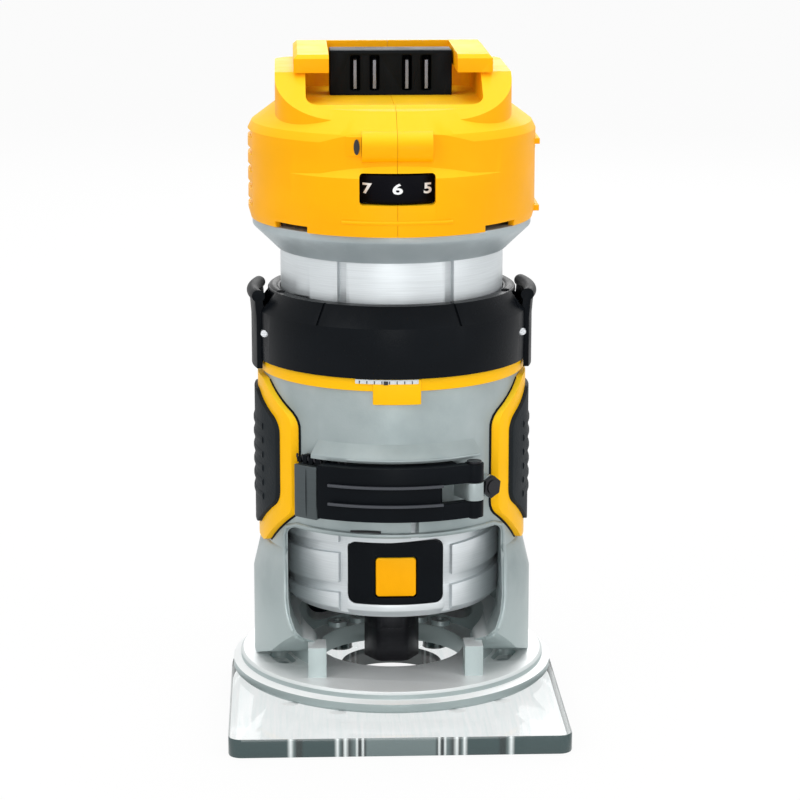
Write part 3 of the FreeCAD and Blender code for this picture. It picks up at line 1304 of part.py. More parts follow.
def switch_bezel():
    """Frame that holds the rocker in the head's right wall."""
    frame = block((BEZEL_INNER_X, BEZEL_OUTER_X), switch_range(BEZEL_WALL), switch_height(BEZEL_WALL))
    room = block((BEZEL_INNER_X + 1.2, 2 * BEZEL_OUTER_X), switch_range(0), switch_height(0))
    drop = block((BEZEL_OUTER_X - BEZEL_SIDE_DROP, 2 * BEZEL_OUTER_X), switch_range(2 * BEZEL_WALL), switch_height(0))
    frame = frame.cut(room).cut(drop)
    pivot = SWITCH_HALF_WIDTH + BEZEL_WALL
    axle = bar(ROCKER_PIVOT_RADIUS, V(ROCKER_PIVOT_X, -pivot, SWITCH_Z), V(ROCKER_PIVOT_X, pivot, SWITCH_Z))
    return frame.fuse(axle).removeSplitter()


def power_rocker():
    """Rocker on the bezel's axle, at rest with its lower end pressed in."""
    half = SWITCH_HALF_HEIGHT - RUN_GAP - 0.3
    face = BEZEL_OUTER_X - 1.2
    tilt = math.tan(math.radians(ROCKER_TILT))
    outline = [
        V(ROCKER_PIVOT_X - 1.0, -SWITCH_HALF_WIDTH + RUN_GAP, -half * 0.45),
        V(face - half * tilt, -SWITCH_HALF_WIDTH + RUN_GAP, -half),
        V(face - half * tilt * 0.5, -SWITCH_HALF_WIDTH + RUN_GAP, 0),
        V(face, -SWITCH_HALF_WIDTH + RUN_GAP, half),
        V(ROCKER_PIVOT_X - 0.2, -SWITCH_HALF_WIDTH + RUN_GAP, half * 0.75),
    ]
    rocker = Part.Face(Part.makePolygon(outline + outline[:1])).extrude(BACK * 2 * (SWITCH_HALF_WIDTH - RUN_GAP))
    rocker.translate(UP * SWITCH_Z)
    far = 2 * SWITCH_HALF_WIDTH
    start = V(ROCKER_PIVOT_X, -SWITCH_HALF_WIDTH + RUN_GAP, SWITCH_Z)
    eye = bar(ROCKER_PIVOT_RADIUS + 1.0, start, start + BACK * 2 * (SWITCH_HALF_WIDTH - RUN_GAP))
    hole = bar(ROCKER_PIVOT_RADIUS + PIN_FIT, start - BACK * far, start + BACK * far)
    return rocker.fuse(eye).cut(hole).removeSplitter()


def terminal_body(margin):
    """Terminal block's outer shape, grown by MARGIN, standing on the floor of the well."""
    return block(
        (-TERMINAL_HALF_WIDTH - margin, TERMINAL_HALF_WIDTH + margin),
        (TERMINAL_FRONT - margin, TERMINAL_BACK + margin),
        (WELL_FLOOR_Z, TERMINAL_TOP_Z),
    )


def blade_places():
    """X of each terminal blade."""
    return [-BLADE_OUTER_X, -BLADE_INNER_X, BLADE_INNER_X, BLADE_OUTER_X]


def terminal_block():
    """Black block with a slot for each blade of the battery's connector."""
    body = terminal_body(0.0)
    for x in blade_places():
        half = BLADE_THICKNESS / 2 + BLADE_ROOM
        z_range = (WELL_FLOOR_Z + TERMINAL_WALL, TERMINAL_TOP_Z - TERMINAL_WALL)
        slot = block((x - half, x + half), (0, TERMINAL_BACK - TERMINAL_WEB), z_range)
        body = body.cut(slot)
    return body


def terminal_blades():
    """Contact blades in the terminal block's slots."""
    blades = []
    back = TERMINAL_BACK - TERMINAL_WEB
    for x in blade_places():
        half = BLADE_THICKNESS / 2
        z_range = (WELL_FLOOR_Z + BLADE_LIFT, TERMINAL_TOP_Z - BLADE_DROP)
        blades.append(block((x - half, x + half), (TERMINAL_FRONT + BLADE_SINK, back), z_range))
    return blades


def main():
    """Builds every node of the router."""
    os.makedirs("parts", exist_ok=True)
    lower_inner, lower_outer, lower_balls = bearing(LOWER_BEARING_Z, SPINDLE_RADIUS)
    upper_inner, upper_outer, upper_balls = bearing(UPPER_BEARING_Z, SPINDLE_RADIUS)
    nodes = {
        "sub_base": [sub_base()],
        "sub_base_screws": sole_screws(),
        "base_casting": [base_casting()],
        "grip_trim_right": [grip_trim()],
        "grip_trim_left": [mirrored_x(grip_trim())],
        "grip_right": [grip()],
        "grip_left": [mirrored_x(grip())],
        "chip_shield": [chip_shield()],
        "clamp_strap": [clamp_strap()],
        "clamp_bolt": [clamp_bolt()],
        "clamp_nut": [clamp_nut()],
        "lever_pin": [lever_pin()],
        "lock_lever": [lock_lever()],
        "scale_ring": [scale_ring()],
        "depth_ring": [depth_ring()],
        "tab_pins": [tab_pin(-1), tab_pin(1)],
        "release_tab_right": [release_tab()],
        "release_tab_left": [mirrored_x(release_tab())],
        "motor_can": [motor_can()],
        "front_panel": [front_panel()],
        "lock_button": [lock_button()],
        "lock_spring": [lock_spring()],
        "collar": [collar()],
        "stator_core": [stator_core()],
        "stator_windings": [stator_windings()],
        "lower_bearing_outer": [lower_outer],
        "upper_bearing_outer": [upper_outer],
        "bearing_carrier": [bearing_carrier()],
        "led_board": [led_board()],
        "led_lenses": led_lenses(),
        "controller_board": [controller_board()],
        "housing_left": [housing(-1)],
        "housing_right": [housing(1)],
        "head_screws": head_screws(),
        "dial_control": [dial_control()],
        "switch_bezel": [switch_bezel()],
        "terminal_block": [terminal_block()],
        "terminal_blades": terminal_blades(),
        "speed_dial": [speed_dial()],
        "power_rocker": [power_rocker()],
        "spindle_shaft": [spindle_shaft()],
        "collet": [collet()],
        "collet_nut": [collet_nut()],
        "rotor": [rotor()],
        "cooling_fan": [cooling_fan()],
        "lower_bearing_inner": [lower_inner],
        "upper_bearing_inner": [upper_inner],
        "bearing_balls": lower_balls + upper_balls,
    }
    for name, shapes in nodes.items():
        save(shapes, name)


main()
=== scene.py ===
"""Finished look of a cordless trim router, built round its packed construction frame.

The frame gives every sub-part at its real size and place, in metres: +Z up, the operator at -Y, and the
origin on the spindle axis in the plane of the sole. Classes here dress those sub-parts and add the details
that have no mechanical role: softened edges, dial numbers, scale marks, ridges and textures.
"""

from __future__ import annotations

import json
import logging
import math
from dataclasses import dataclass
from enum import Enum

import bpy
import bmesh
from mathutils import Matrix, Vector
from mathutils.bvhtree import BVHTree

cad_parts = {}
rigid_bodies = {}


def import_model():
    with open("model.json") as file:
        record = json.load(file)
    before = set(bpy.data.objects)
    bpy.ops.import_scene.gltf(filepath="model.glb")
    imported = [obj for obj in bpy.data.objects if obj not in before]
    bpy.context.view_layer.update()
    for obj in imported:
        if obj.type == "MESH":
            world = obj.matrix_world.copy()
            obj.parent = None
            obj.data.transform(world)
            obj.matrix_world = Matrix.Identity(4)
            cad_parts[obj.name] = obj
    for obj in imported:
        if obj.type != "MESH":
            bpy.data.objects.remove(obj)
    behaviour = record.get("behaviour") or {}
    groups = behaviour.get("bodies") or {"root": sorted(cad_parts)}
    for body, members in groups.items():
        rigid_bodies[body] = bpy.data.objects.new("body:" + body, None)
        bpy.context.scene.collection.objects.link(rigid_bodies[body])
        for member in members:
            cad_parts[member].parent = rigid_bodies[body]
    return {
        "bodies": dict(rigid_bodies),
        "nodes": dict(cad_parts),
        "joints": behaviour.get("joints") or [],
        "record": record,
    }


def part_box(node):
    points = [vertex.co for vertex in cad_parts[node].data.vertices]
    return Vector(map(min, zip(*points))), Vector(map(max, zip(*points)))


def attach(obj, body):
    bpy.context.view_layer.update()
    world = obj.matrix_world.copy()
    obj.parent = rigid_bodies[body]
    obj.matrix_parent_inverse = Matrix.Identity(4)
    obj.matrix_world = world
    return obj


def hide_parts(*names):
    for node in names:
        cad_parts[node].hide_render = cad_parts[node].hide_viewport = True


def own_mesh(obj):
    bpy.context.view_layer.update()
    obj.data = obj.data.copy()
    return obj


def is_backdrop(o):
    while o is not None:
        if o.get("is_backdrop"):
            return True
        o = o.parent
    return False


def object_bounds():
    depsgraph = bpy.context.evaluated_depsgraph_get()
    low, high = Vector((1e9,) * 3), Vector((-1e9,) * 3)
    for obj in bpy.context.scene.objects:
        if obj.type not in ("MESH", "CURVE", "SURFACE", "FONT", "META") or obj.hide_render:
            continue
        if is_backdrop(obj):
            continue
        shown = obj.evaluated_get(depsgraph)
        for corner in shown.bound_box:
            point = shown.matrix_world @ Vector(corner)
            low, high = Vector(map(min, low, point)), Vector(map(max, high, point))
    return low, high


LOG = logging.getLogger("router")
MM = 0.001
Colour = tuple[float, float, float]
Point = tuple[float, float, float]
Socket = bpy.types.NodeSocket


# ---------------------------------------------------------------- finishes


def principled(name: str) -> tuple[bpy.types.Material, bpy.types.Node]:
    """A new material and its shader.

    Args:
        name: Name of the material.

    Returns:
        The material and its Principled BSDF node.
    """
    material = bpy.data.materials.new(name)
    material.use_nodes = True
    return material, material.node_tree.nodes["Principled BSDF"]


class Weave:
    """Small helper that adds and links nodes in one material's tree."""

    def __init__(self, material: bpy.types.Material) -> None:
        """Starts from the object's own coordinates."""
        self.tree = material.node_tree
        self.place = self.add("ShaderNodeTexCoord").outputs["Object"]

    def add(self, kind: str, **settings: object) -> bpy.types.Node:
        """A new node with its properties set.

        Args:
            kind: Blender's name for the type of node.
            **settings: Properties of the node and their values.

        Returns:
            The node.
        """
        node = self.tree.nodes.new(kind)
        for key, value in settings.items():
            setattr(node, key, value)
        return node

    def link(self, start: Socket, end: Socket) -> None:
        """Joins two sockets."""
        self.tree.links.new(start, end)

    def stretched(self, scale: Point) -> Socket:
        """Object coordinates scaled along each axis.

        Args:
            scale: Factor along x, y and z.

        Returns:
            The scaled coordinates.
        """
        mapping = self.add("ShaderNodeMapping")
        mapping.inputs["Scale"].default_value = scale
        self.link(self.place, mapping.inputs["Vector"])
        return mapping.outputs["Vector"]

    def noise(self, scale: float, detail: float = 3.0, place: Socket | None = None) -> Socket:
        """Cloudy noise.

        Args:
            scale: Cells per metre.
            detail: Octaves of finer noise.
            place: Coordinates that it reads, or none for the object's own.

        Returns:
            The noise, mostly between 0.3 and 0.7.
        """
        node = self.add("ShaderNodeTexNoise")
        node.inputs["Scale"].default_value = scale
        node.inputs["Detail"].default_value = detail
        self.link(place or self.place, node.inputs["Vector"])
        return node.outputs["Fac"]

    def ramp(self, value: Socket, low: float, high: float, start: Colour, end: Colour) -> Socket:
        """Colour that follows a value.

        Args:
            value: What the colour follows.
            low: Value up to which it is the first colour.
            high: Value from which it is the second colour.
            start: The first colour.
            end: The second colour.

        Returns:
            The colour.
        """
        node = self.add("ShaderNodeValToRGB")
        stops = node.color_ramp.elements
        stops[0].position = low
        stops[0].color = (*start, 1.0)
        stops[1].position = high
        stops[1].color = (*end, 1.0)
        self.link(value, node.inputs["Fac"])
        return node.outputs["Color"]

    def blend(self, share: Socket, start: Socket, end: Colour) -> Socket:
        """One colour turned into another.

        Args:
            share: How much of the second colour shows.
            start: The first colour.
            end: The second colour.

        Returns:
            The mixed colour.
        """
        node = self.add("ShaderNodeMix", data_type="RGBA")
        self.link(share, node.inputs[0])
        self.link(start, node.inputs[6])
        node.inputs[7].default_value = (*end, 1.0)
        return node.outputs[2]

    def part(self, socket: str, axis: str) -> Socket:
        """One axis of the place or of the surface's direction.

        Args:
            socket: "Object" for the place or "Normal" for the direction.
            axis: "X", "Y" or "Z".

        Returns:
            The value along that axis.
        """
        split = self.add("ShaderNodeSeparateXYZ")
        source = self.place if socket == "Object" else self.add("ShaderNodeTexCoord").outputs[socket]
        self.link(source, split.inputs[0])
        return split.outputs[axis]

    def share(self, value: Socket, low: float, high: float) -> Socket:
        """Smooth step between two values.

        Args:
            value: What the step follows.
            low: Value at which the step is 0.
            high: Value at which it is 1, above or below the first.

        Returns:
            A share from 0 to 1.
        """
        node = self.add("ShaderNodeMapRange", interpolation_type="SMOOTHSTEP")
        node.inputs["From Min"].default_value = low
        node.inputs["From Max"].default_value = high
        self.link(value, node.inputs["Value"])
        return node.outputs["Result"]

    def remap(self, value: Socket, low: float, high: float) -> Socket:
        """Carries a noise to another range.

        Args:
            value: Noise between 0.3 and 0.7.
            low: What 0.3 becomes.
            high: What 0.7 becomes.

        Returns:
            The value in its new range.
        """
        node = self.add("ShaderNodeMapRange")
        node.inputs["From Min"].default_value = 0.3
        node.inputs["From Max"].default_value = 0.7
        node.inputs["To Min"].default_value = low
        node.inputs["To Max"].default_value = high
        self.link(value, node.inputs["Value"])
        return node.outputs["Result"]

    def bump(self, height: Socket, depth: float, strength: float = 1.0,
             under: Socket | None = None) -> Socket:
        """Normal of a surface with relief.

        Args:
            height: The relief, from 0 to 1.
            depth: Its depth in metres.
            strength: How much of it shows.
            under: Normal of a coarser relief below it, if there is one.

        Returns:
            The normal.
        """
        node = self.add("ShaderNodeBump")
        node.inputs["Distance"].default_value = depth
        node.inputs["Strength"].default_value = strength
        self.link(height, node.inputs["Height"])
        if under is not None:
            self.link(under, node.inputs["Normal"])
        return node.outputs["Normal"]


def mixed(colour: Colour, share: float, other: Colour = (0.0, 0.0, 0.0)) -> Colour:
    """COLOUR with SHARE of it replaced by another colour."""
    return tuple(a * (1 - share) + b * share for a, b in zip(colour, other))


@dataclass(frozen=True)
class Moulded:
    """Moulded plastic or rubber: fine grain, faint flow marks and handled patches.

    CROWN is a painted highlight: a lighter colour for the faces that look upwards, where light from above
    falls.
    """

    name: str
    colour: Colour
    roughness: float = 0.45
    grain: float = 2600.0
    grain_depth: float = 0.00006
    mottle: float = 0.08
    specular: float = 0.5
    crown: Colour | None = None

    def material(self) -> bpy.types.Material:
        """The finish as a node material.

        Returns:
            The material.
        """
        material, shader = principled(self.name)
        weave = Weave(material)
        flow = weave.noise(38.0, 4.0, weave.stretched((1.0, 1.0, 2.2)))
        tone = weave.ramp(flow, 0.35, 0.68, mixed(self.colour, self.mottle), self.colour)
        # Painted highlight: faces that look upwards are blended towards the lighter crown colour, and the
        # sides keep the deeper one.
        if self.crown:
            tone = weave.blend(weave.share(weave.part("Normal", "Z"), -0.05, 0.9), tone, self.crown)
        weave.link(tone, shader.inputs["Base Color"])
        handled = weave.noise(90.0, 5.0)
        worn = weave.remap(handled, self.roughness - 0.06, self.roughness + 0.07)
        weave.link(worn, shader.inputs["Roughness"])
        grain = weave.noise(self.grain, 2.0)
        weave.link(weave.bump(grain, self.grain_depth, 0.55), shader.inputs["Normal"])
        shader.inputs["Specular IOR Level"].default_value = self.specular
        return material


@dataclass(frozen=True)
class Cast:
    """Die-cast aluminium, bead blasted and lacquered: cool grey with a pebbled skin and clouding.

    FOOT is a painted lighter colour near the sole, standing in for light that reaches the flange; faces there
    that look upwards get a still lighter painted highlight.
    """

    name: str
    colour: Colour
    roughness: float = 0.42
    metallic: float = 0.45
    foot: Colour | None = None

    def material(self) -> bpy.types.Material:
        """The finish as a node material.

        Returns:
            The material.
        """
        material, shader = principled(self.name)
        weave = Weave(material)
        cloud = weave.noise(55.0, 6.0)
        pale = mixed(self.colour, 0.10, (1.0, 1.0, 1.0))
        tone = weave.ramp(cloud, 0.3, 0.7, mixed(self.colour, 0.10), pale)
        # Painted light: towards the sole the colour turns to the lighter foot colour, and faces there that
        # look upwards lighter still, as if lit on the flange's top.
        if self.foot:
            low = weave.share(weave.part("Object", "Z"), 0.045, 0.016)
            tone = weave.blend(low, tone, self.foot)
            level = weave.add("ShaderNodeMath", operation="MULTIPLY")
            weave.link(low, level.inputs[0])
            weave.link(weave.share(weave.part("Normal", "Z"), 0.4, 0.95), level.inputs[1])
            tone = weave.blend(level.outputs[0], tone, mixed(self.foot, 0.75, (1.0, 1.0, 1.0)))
        weave.link(tone, shader.inputs["Base Color"])
        shader.inputs["Metallic"].default_value = self.metallic
        worn = weave.remap(cloud, self.roughness + 0.06, self.roughness - 0.05)
        weave.link(worn, shader.inputs["Roughness"])
        pebble = weave.noise(1500.0, 3.0)
        wave = weave.noise(160.0, 2.0)
        under = weave.bump(wave, 0.00012, 0.35)
        weave.link(weave.bump(pebble, 0.00008, 0.5, under), shader.inputs["Normal"])
        return material


@dataclass(frozen=True)
class Turned:
    """Lathe-turned metal: fine tool lines round the spindle axis over a bright face."""

    name: str
    colour: Colour
    roughness: float = 0.28
    lines: float = 3800.0
    metallic: float = 0.9

    def material(self) -> bpy.types.Material:
        """The finish as a node material.

        Returns:
            The material.
        """
        material, shader = principled(self.name)
        weave = Weave(material)
        lines = weave.noise(self.lines, 2.0, weave.stretched((0.02, 0.02, 1.0)))
        smudge = weave.noise(70.0, 5.0)
        tone = weave.ramp(lines, 0.3, 0.7, mixed(self.colour, 0.10), self.colour)
        weave.link(tone, shader.inputs["Base Color"])
        shader.inputs["Metallic"].default_value = self.metallic
        worn = weave.remap(smudge, self.roughness - 0.05, self.roughness + 0.09)
        weave.link(worn, shader.inputs["Roughness"])
        weave.link(weave.bump(lines, 0.00003, 0.5), shader.inputs["Normal"])
        return material


@dataclass(frozen=True)
class ClearSheet:
    """Clear moulding with polished faces and faint haze."""

    name: str
    tint: Colour = (0.97, 0.97, 0.93)

    def material(self) -> bpy.types.Material:
        """The finish as a node material.

        Returns:
            The material.
        """
        material, shader = principled(self.name)
        weave = Weave(material)
        haze = weave.noise(240.0, 4.0)
        weave.link(weave.remap(haze, 0.015, 0.07), shader.inputs["Roughness"])
        shader.inputs["Base Color"].default_value = (*self.tint, 1.0)
        shader.inputs["Transmission Weight"].default_value = 1.0
        shader.inputs["IOR"].default_value = 1.45
        return material


@dataclass(frozen=True)
class ClearPlate:
    """Polycarbonate plate: see-through faces with a light gloss, and cut edges of a deep grey-green that is
    partly its own tint and partly painted shade in place of refraction.

    BAND is the colour of the painted highlights laid as light bands across the cut edges in place of
    refraction.
    """

    name: str
    face: Colour = (0.93, 0.96, 0.96)
    edge: Colour = (0.020, 0.050, 0.052)
    band: Colour = (0.80, 0.86, 0.86)

    def material(self) -> bpy.types.Material:
        """The finish as a node material.

        Returns:
            The material.
        """
        material, shader = principled(self.name)
        weave = Weave(material)
        tree = material.node_tree
        side = weave.add("ShaderNodeMath", operation="ABSOLUTE")
        weave.link(weave.part("Object", "X"), side.inputs[0])
        # Painted refraction: along the distance from the middle, the cut edges get light bands of painted
        # highlight between darker bands of painted shade.
        stripes = weave.add("ShaderNodeValToRGB")
        stripes.color_ramp.interpolation = "LINEAR"
        deep, soft, band = mixed(self.edge, 0.6), mixed(self.edge, 0.22, (0.5, 0.6, 0.6)), self.band
        stops = (
            (0.0, soft), (10.0, soft), (10.8, deep), (11.3, band), (11.9, deep), (12.6, deep), (13.0, band),
            (13.6, soft), (15.4, deep), (16.6, band), (17.3, deep), (18.2, soft), (18.8, band),
            (19.8, self.edge), (28.8, self.edge), (29.6, deep), (30.9, deep), (31.8, soft), (32.7, band),
            (33.8, self.edge), (50.0, self.edge),
        )
        points = stripes.color_ramp.elements
        for k, (place, colour) in enumerate(stops):
            stop = points[k] if k < 2 else points.new(place / 60.0)
            stop.position = place / 60.0
            stop.color = (*colour, 1.0)
        scaled = weave.add("ShaderNodeMath", operation="MULTIPLY")
        scaled.inputs[1].default_value = 1.0 / 0.060
        weave.link(side.outputs[0], scaled.inputs[0])
        weave.link(scaled.outputs[0], stripes.inputs["Fac"])
        weave.link(stripes.outputs["Color"], shader.inputs["Base Color"])
        haze = weave.noise(240.0, 4.0)
        weave.link(weave.remap(haze, 0.06, 0.16), shader.inputs["Roughness"])
        clear = weave.add("ShaderNodeBsdfTransparent")
        scratches = weave.noise(900.0, 2.0, weave.stretched((1.0, 0.06, 1.0)))
        weave.link(weave.ramp(scratches, 0.3, 0.8, self.face, (1.0, 1.0, 1.0)), clear.inputs["Color"])
        gloss = weave.add("ShaderNodeBsdfGlossy")
        gloss.inputs["Roughness"].default_value = 0.08
        face = weave.add("ShaderNodeMixShader")
        face.inputs[0].default_value = 0.07
        weave.link(clear.outputs[0], face.inputs[1])
        weave.link(gloss.outputs[0], face.inputs[2])
        thin = weave.add("ShaderNodeMixShader")
        thin.inputs[0].default_value = 0.97
        weave.link(clear.outputs[0], thin.inputs[1])
        weave.link(shader.outputs[0], thin.inputs[2])
        facing = weave.add("ShaderNodeSeparateXYZ")
        normal = weave.add("ShaderNodeTexCoord")
        weave.link(normal.outputs["Normal"], facing.inputs[0])
        upright = weave.add("ShaderNodeMath", operation="ABSOLUTE")
        weave.link(facing.outputs["Z"], upright.inputs[0])
        is_face = weave.add("ShaderNodeMath", operation="GREATER_THAN")
        is_face.inputs[1].default_value = 0.6
        weave.link(upright.outputs[0], is_face.inputs[0])
        choice = weave.add("ShaderNodeMixShader")
        weave.link(is_face.outputs[0], choice.inputs[0])
        weave.link(thin.outputs[0], choice.inputs[1])
        weave.link(face.outputs[0], choice.inputs[2])
        weave.link(choice.outputs[0], tree.nodes["Material Output"].inputs["Surface"])
        return material


@dataclass(frozen=True)
class Coil:
    """Enamelled copper wire laid in close turns."""

    name: str
    colour: Colour = (0.62, 0.24, 0.09)

    def material(self) -> bpy.types.Material:
        """The finish as a node material.

        Returns:
            The material.
        """
        material, shader = principled(self.name)
        weave = Weave(material)
        wire = weave.add("ShaderNodeTexWave")
        wire.inputs["Scale"].default_value = 420.0
        wire.inputs["Distortion"].default_value = 1.5
        weave.link(weave.place, wire.inputs["Vector"])
        tone = weave.ramp(wire.outputs["Fac"], 0.1, 0.8, mixed(self.colour, 0.5), self.colour)
        weave.link(tone, shader.inputs["Base Color"])
        shader.inputs["Metallic"].default_value = 0.8
        shader.inputs["Roughness"].default_value = 0.35
        weave.link(weave.bump(wire.outputs["Fac"], 0.0002, 0.8), shader.inputs["Normal"])
        return material


class Finishes(Enum):
    """Every finish on the router."""

    # The crown colours below are painted highlights on the faces that look upwards.
    YELLOW = Moulded(
        "yellow_nylon", (0.98, 0.43, 0.0), roughness=0.42, mottle=0.06, specular=0.09,
        crown=(1.0, 0.62, 0.015),
    )
    TRIM = Moulded(
        "yellow_trim", (1.0, 0.52, 0.0), roughness=0.42, mottle=0.06, specular=0.12,
        crown=(1.0, 0.66, 0.02),
    )
    BLACK = Moulded("black_nylon", (0.0045, 0.006, 0.008), roughness=0.4, mottle=0.2, specular=0.05)
    GLOSS = Moulded("gloss_nylon", (0.0045, 0.006, 0.008), roughness=0.3, mottle=0.2, specular=0.07)
    RUBBER = Moulded(
        "grip_rubber", (0.010, 0.014, 0.017), roughness=0.6, grain=1100.0, grain_depth=0.00025, specular=0.12
    )
    DIAL = Moulded("dial_black", (0.003, 0.003, 0.005), roughness=0.4, specular=0.04)
    # Ridges on the lever: lighter grey and glossier than the lever's black.
    RIDGE = Moulded("lighter_grey_ridge", (0.05, 0.055, 0.065), roughness=0.45, specular=0.3)
    SILVER = Moulded("silver_label", (0.62, 0.66, 0.68), roughness=0.4, mottle=0.05)
    # White for print, and for the painted glints on the sole.
    WHITE = Moulded("print_and_glint_white", (0.85, 0.86, 0.86), roughness=0.5, mottle=0.03)
    # Black for print, and for the painted shade in the screw hole and the slot.
    PRINT_BLACK = Moulded("print_black", (0.01, 0.01, 0.012), roughness=0.5)
    BOARD = Moulded("circuit_board", (0.01, 0.10, 0.04), roughness=0.35, mottle=0.3)
    # The foot colour is painted light near the sole.
    CASTING = Cast("cast_aluminium", (0.30, 0.36, 0.365), foot=(0.40, 0.47, 0.47))
    COLLAR = Cast("cast_collar", (0.36, 0.42, 0.44))
    BRIGHT = Turned("turned_aluminium", (0.66, 0.70, 0.72), roughness=0.42, metallic=0.6)
    BLADE = Turned("contact_blade", (0.16, 0.17, 0.20), roughness=0.4)
    STEEL = Turned("zinc_steel", (0.58, 0.60, 0.62), roughness=0.34, lines=2200.0)
    DARK_STEEL = Turned("black_oxide", (0.018, 0.018, 0.022), roughness=0.36, lines=2400.0, metallic=0.6)
    STRAP = Turned("strap_steel", (0.075, 0.09, 0.095), roughness=0.42, lines=3000.0, metallic=0.7)
    CLEAR = ClearPlate("clear_sole")
    LENS = ClearSheet("lamp_lens")
    COPPER = Coil("copper_wire")


class Palette:
    """Makes each finish's material once."""

    def __init__(self) -> None:
        """Starts with no materials made."""
        self.made: dict[Finishes, bpy.types.Material] = {}

    def of(self, finish: Finishes) -> bpy.types.Material:
        """The material of a finish.

        Args:
            finish: The finish.

        Returns:
            Its material, made at the first call.
        """
        if finish not in self.made:
            self.made[finish] = finish.value.material()
        return self.made[finish]


# ---------------------------------------------------------------- shapes


def new_piece(name: str, mesh: bpy.types.Mesh) -> bpy.types.Object:
    """A linked object at the origin.

    Args:
        name: Name of the object.
        mesh: Its mesh.

    Returns:
        The object.
    """
    piece = bpy.data.objects.new(name, mesh)
    bpy.context.scene.collection.objects.link(piece)
    return piece


def applied(piece: bpy.types.Object) -> bpy.types.Object:
    """PIECE with its modifiers turned into plain mesh.

    Args:
        piece: Object whose modifiers are done with.

    Returns:
        The same object, with no modifiers.
    """
    graph = bpy.context.evaluated_depsgraph_get()
    graph.update()
    mesh = bpy.data.meshes.new_from_object(piece.evaluated_get(graph))
    piece.modifiers.clear()
    piece.data = mesh
    return piece


def paint(piece: bpy.types.Object, material: bpy.types.Material) -> None:
    """Gives a piece one material on all its faces.

    Args:
        piece: The piece.
        material: What it is made of.
    """
    piece.data.materials.clear()
    piece.data.materials.append(material)
    for face in piece.data.polygons:
        face.material_index = 0


def shade(piece: bpy.types.Object, degrees: float = 30.0) -> None:
    """Smooths a piece's faces and leaves its sharp edges crisp.

    Args:
        piece: The piece.
        degrees: Edges that turn by more than this stay crisp.
    """
    for face in piece.data.polygons:
        face.use_smooth = True
    piece.data.set_sharp_from_angle(angle=math.radians(degrees))


def around(radius: float, angle: float, z: float) -> Vector:
    """Point at a radius and a height in metres, ANGLE degrees right of the front."""
    turn = math.radians(angle - 90.0)
    return Vector((radius * math.cos(turn), radius * math.sin(turn), z))


def soft_copy(node: bpy.types.Object, name: str, width: float, segments: int = 2,
              angle: float = 32.0) -> bpy.types.Object:
    """A copy of a construction node whose sharp edges are rounded.

    Args:
        node: The construction node.
        name: Name of the new piece.
        width: Width of the rounding in metres.
        segments: Faces across the rounding.
        angle: Edges sharper than this many degrees are rounded.

    Returns:
        The new piece, with plain mesh.
    """
    mesh = node.data.copy()
    work = bmesh.new()
    work.from_mesh(mesh)
    bmesh.ops.remove_doubles(work, verts=work.verts, dist=2e-6)
    bmesh.ops.dissolve_degenerate(work, dist=1e-6, edges=work.edges)
    bmesh.ops.dissolve_limit(
        work, angle_limit=math.radians(0.6), verts=work.verts, edges=work.edges, delimit={"NORMAL"}
    )
    work.to_mesh(mesh)
    work.free()
    piece = new_piece(name, mesh)
    bevel = piece.modifiers.new("edge", "BEVEL")
    bevel.width = width
    bevel.segments = segments
    bevel.limit_method = "ANGLE"
    bevel.angle_limit = math.radians(angle)
    bevel.use_clamp_overlap = True
    bevel.miter_outer = "MITER_ARC"
    applied(piece)
    shade(piece, 38.0)
    return piece


def faced(name: str, points: list[Vector], faces: list[tuple[int, ...]]) -> bpy.types.Object:
    """A piece made of loose points and faces, with its normals turned outwards.

    Args:
        name: Name of the piece.
        points: Its corners in metres.
        faces: The corners of each face, by number.

    Returns:
        The piece.
    """
    mesh = bpy.data.meshes.new(name)
    mesh.from_pydata([tuple(p) for p in points], [], faces)
    shaper = bmesh.new()
    shaper.from_mesh(mesh)
    bmesh.ops.recalc_face_normals(shaper, faces=shaper.faces)
    shaper.to_mesh(mesh)
    shaper.free()
    return new_piece(name, mesh)


def swept(name: str, profile: list[tuple[float, float]], start: float, sweep: float,
          steps: int = 48) -> bpy.types.Object:
    """Closed solid made by carrying a profile round part of the spindle axis.

    Args:
        name: Name of the piece.
        profile: Corners as (radius, z) in metres.
        start: Degrees right of the front where it starts.
        sweep: Degrees that it covers.
        steps: Faces along the sweep.

    Returns:
        The piece.
    """
    count = len(profile)
    points = [around(r, start + sweep * k / steps, z) for k in range(steps + 1) for r, z in profile]
    faces = [tuple(range(count)), tuple(range(steps * count, (steps + 1) * count))]
    for k in range(steps):
        for j in range(count):
            near, far = k * count, (k + 1) * count
            faces.append((near + j, near + (j + 1) % count, far + (j + 1) % count, far + j))
    return faced(name, points, faces)


def ridge(name: str, radius: float, z: float, half: float, height: float, start: float,
          sweep: float) -> bpy.types.Object:
    """Low rounded ridge round part of a wall.

    Args:
        name: Name of the piece.
        radius: Radius of the wall in metres.
        z: Height of the ridge's middle in metres.
        half: Half of its width in metres.
        height: How far it stands out in metres.
        start: Degrees right of the front where it starts.
        sweep: Degrees that it covers.

    Returns:
        The piece.
    """
    foot = radius - 0.3 * MM
    crown = [(radius + height * math.cos(turn), z + half * math.sin(turn)) for turn in
             (math.radians(a) for a in (-90, -55, -20, 20, 55, 90))]
    return swept(name, [(foot, z - half)] + crown + [(foot, z + half)], start, sweep)


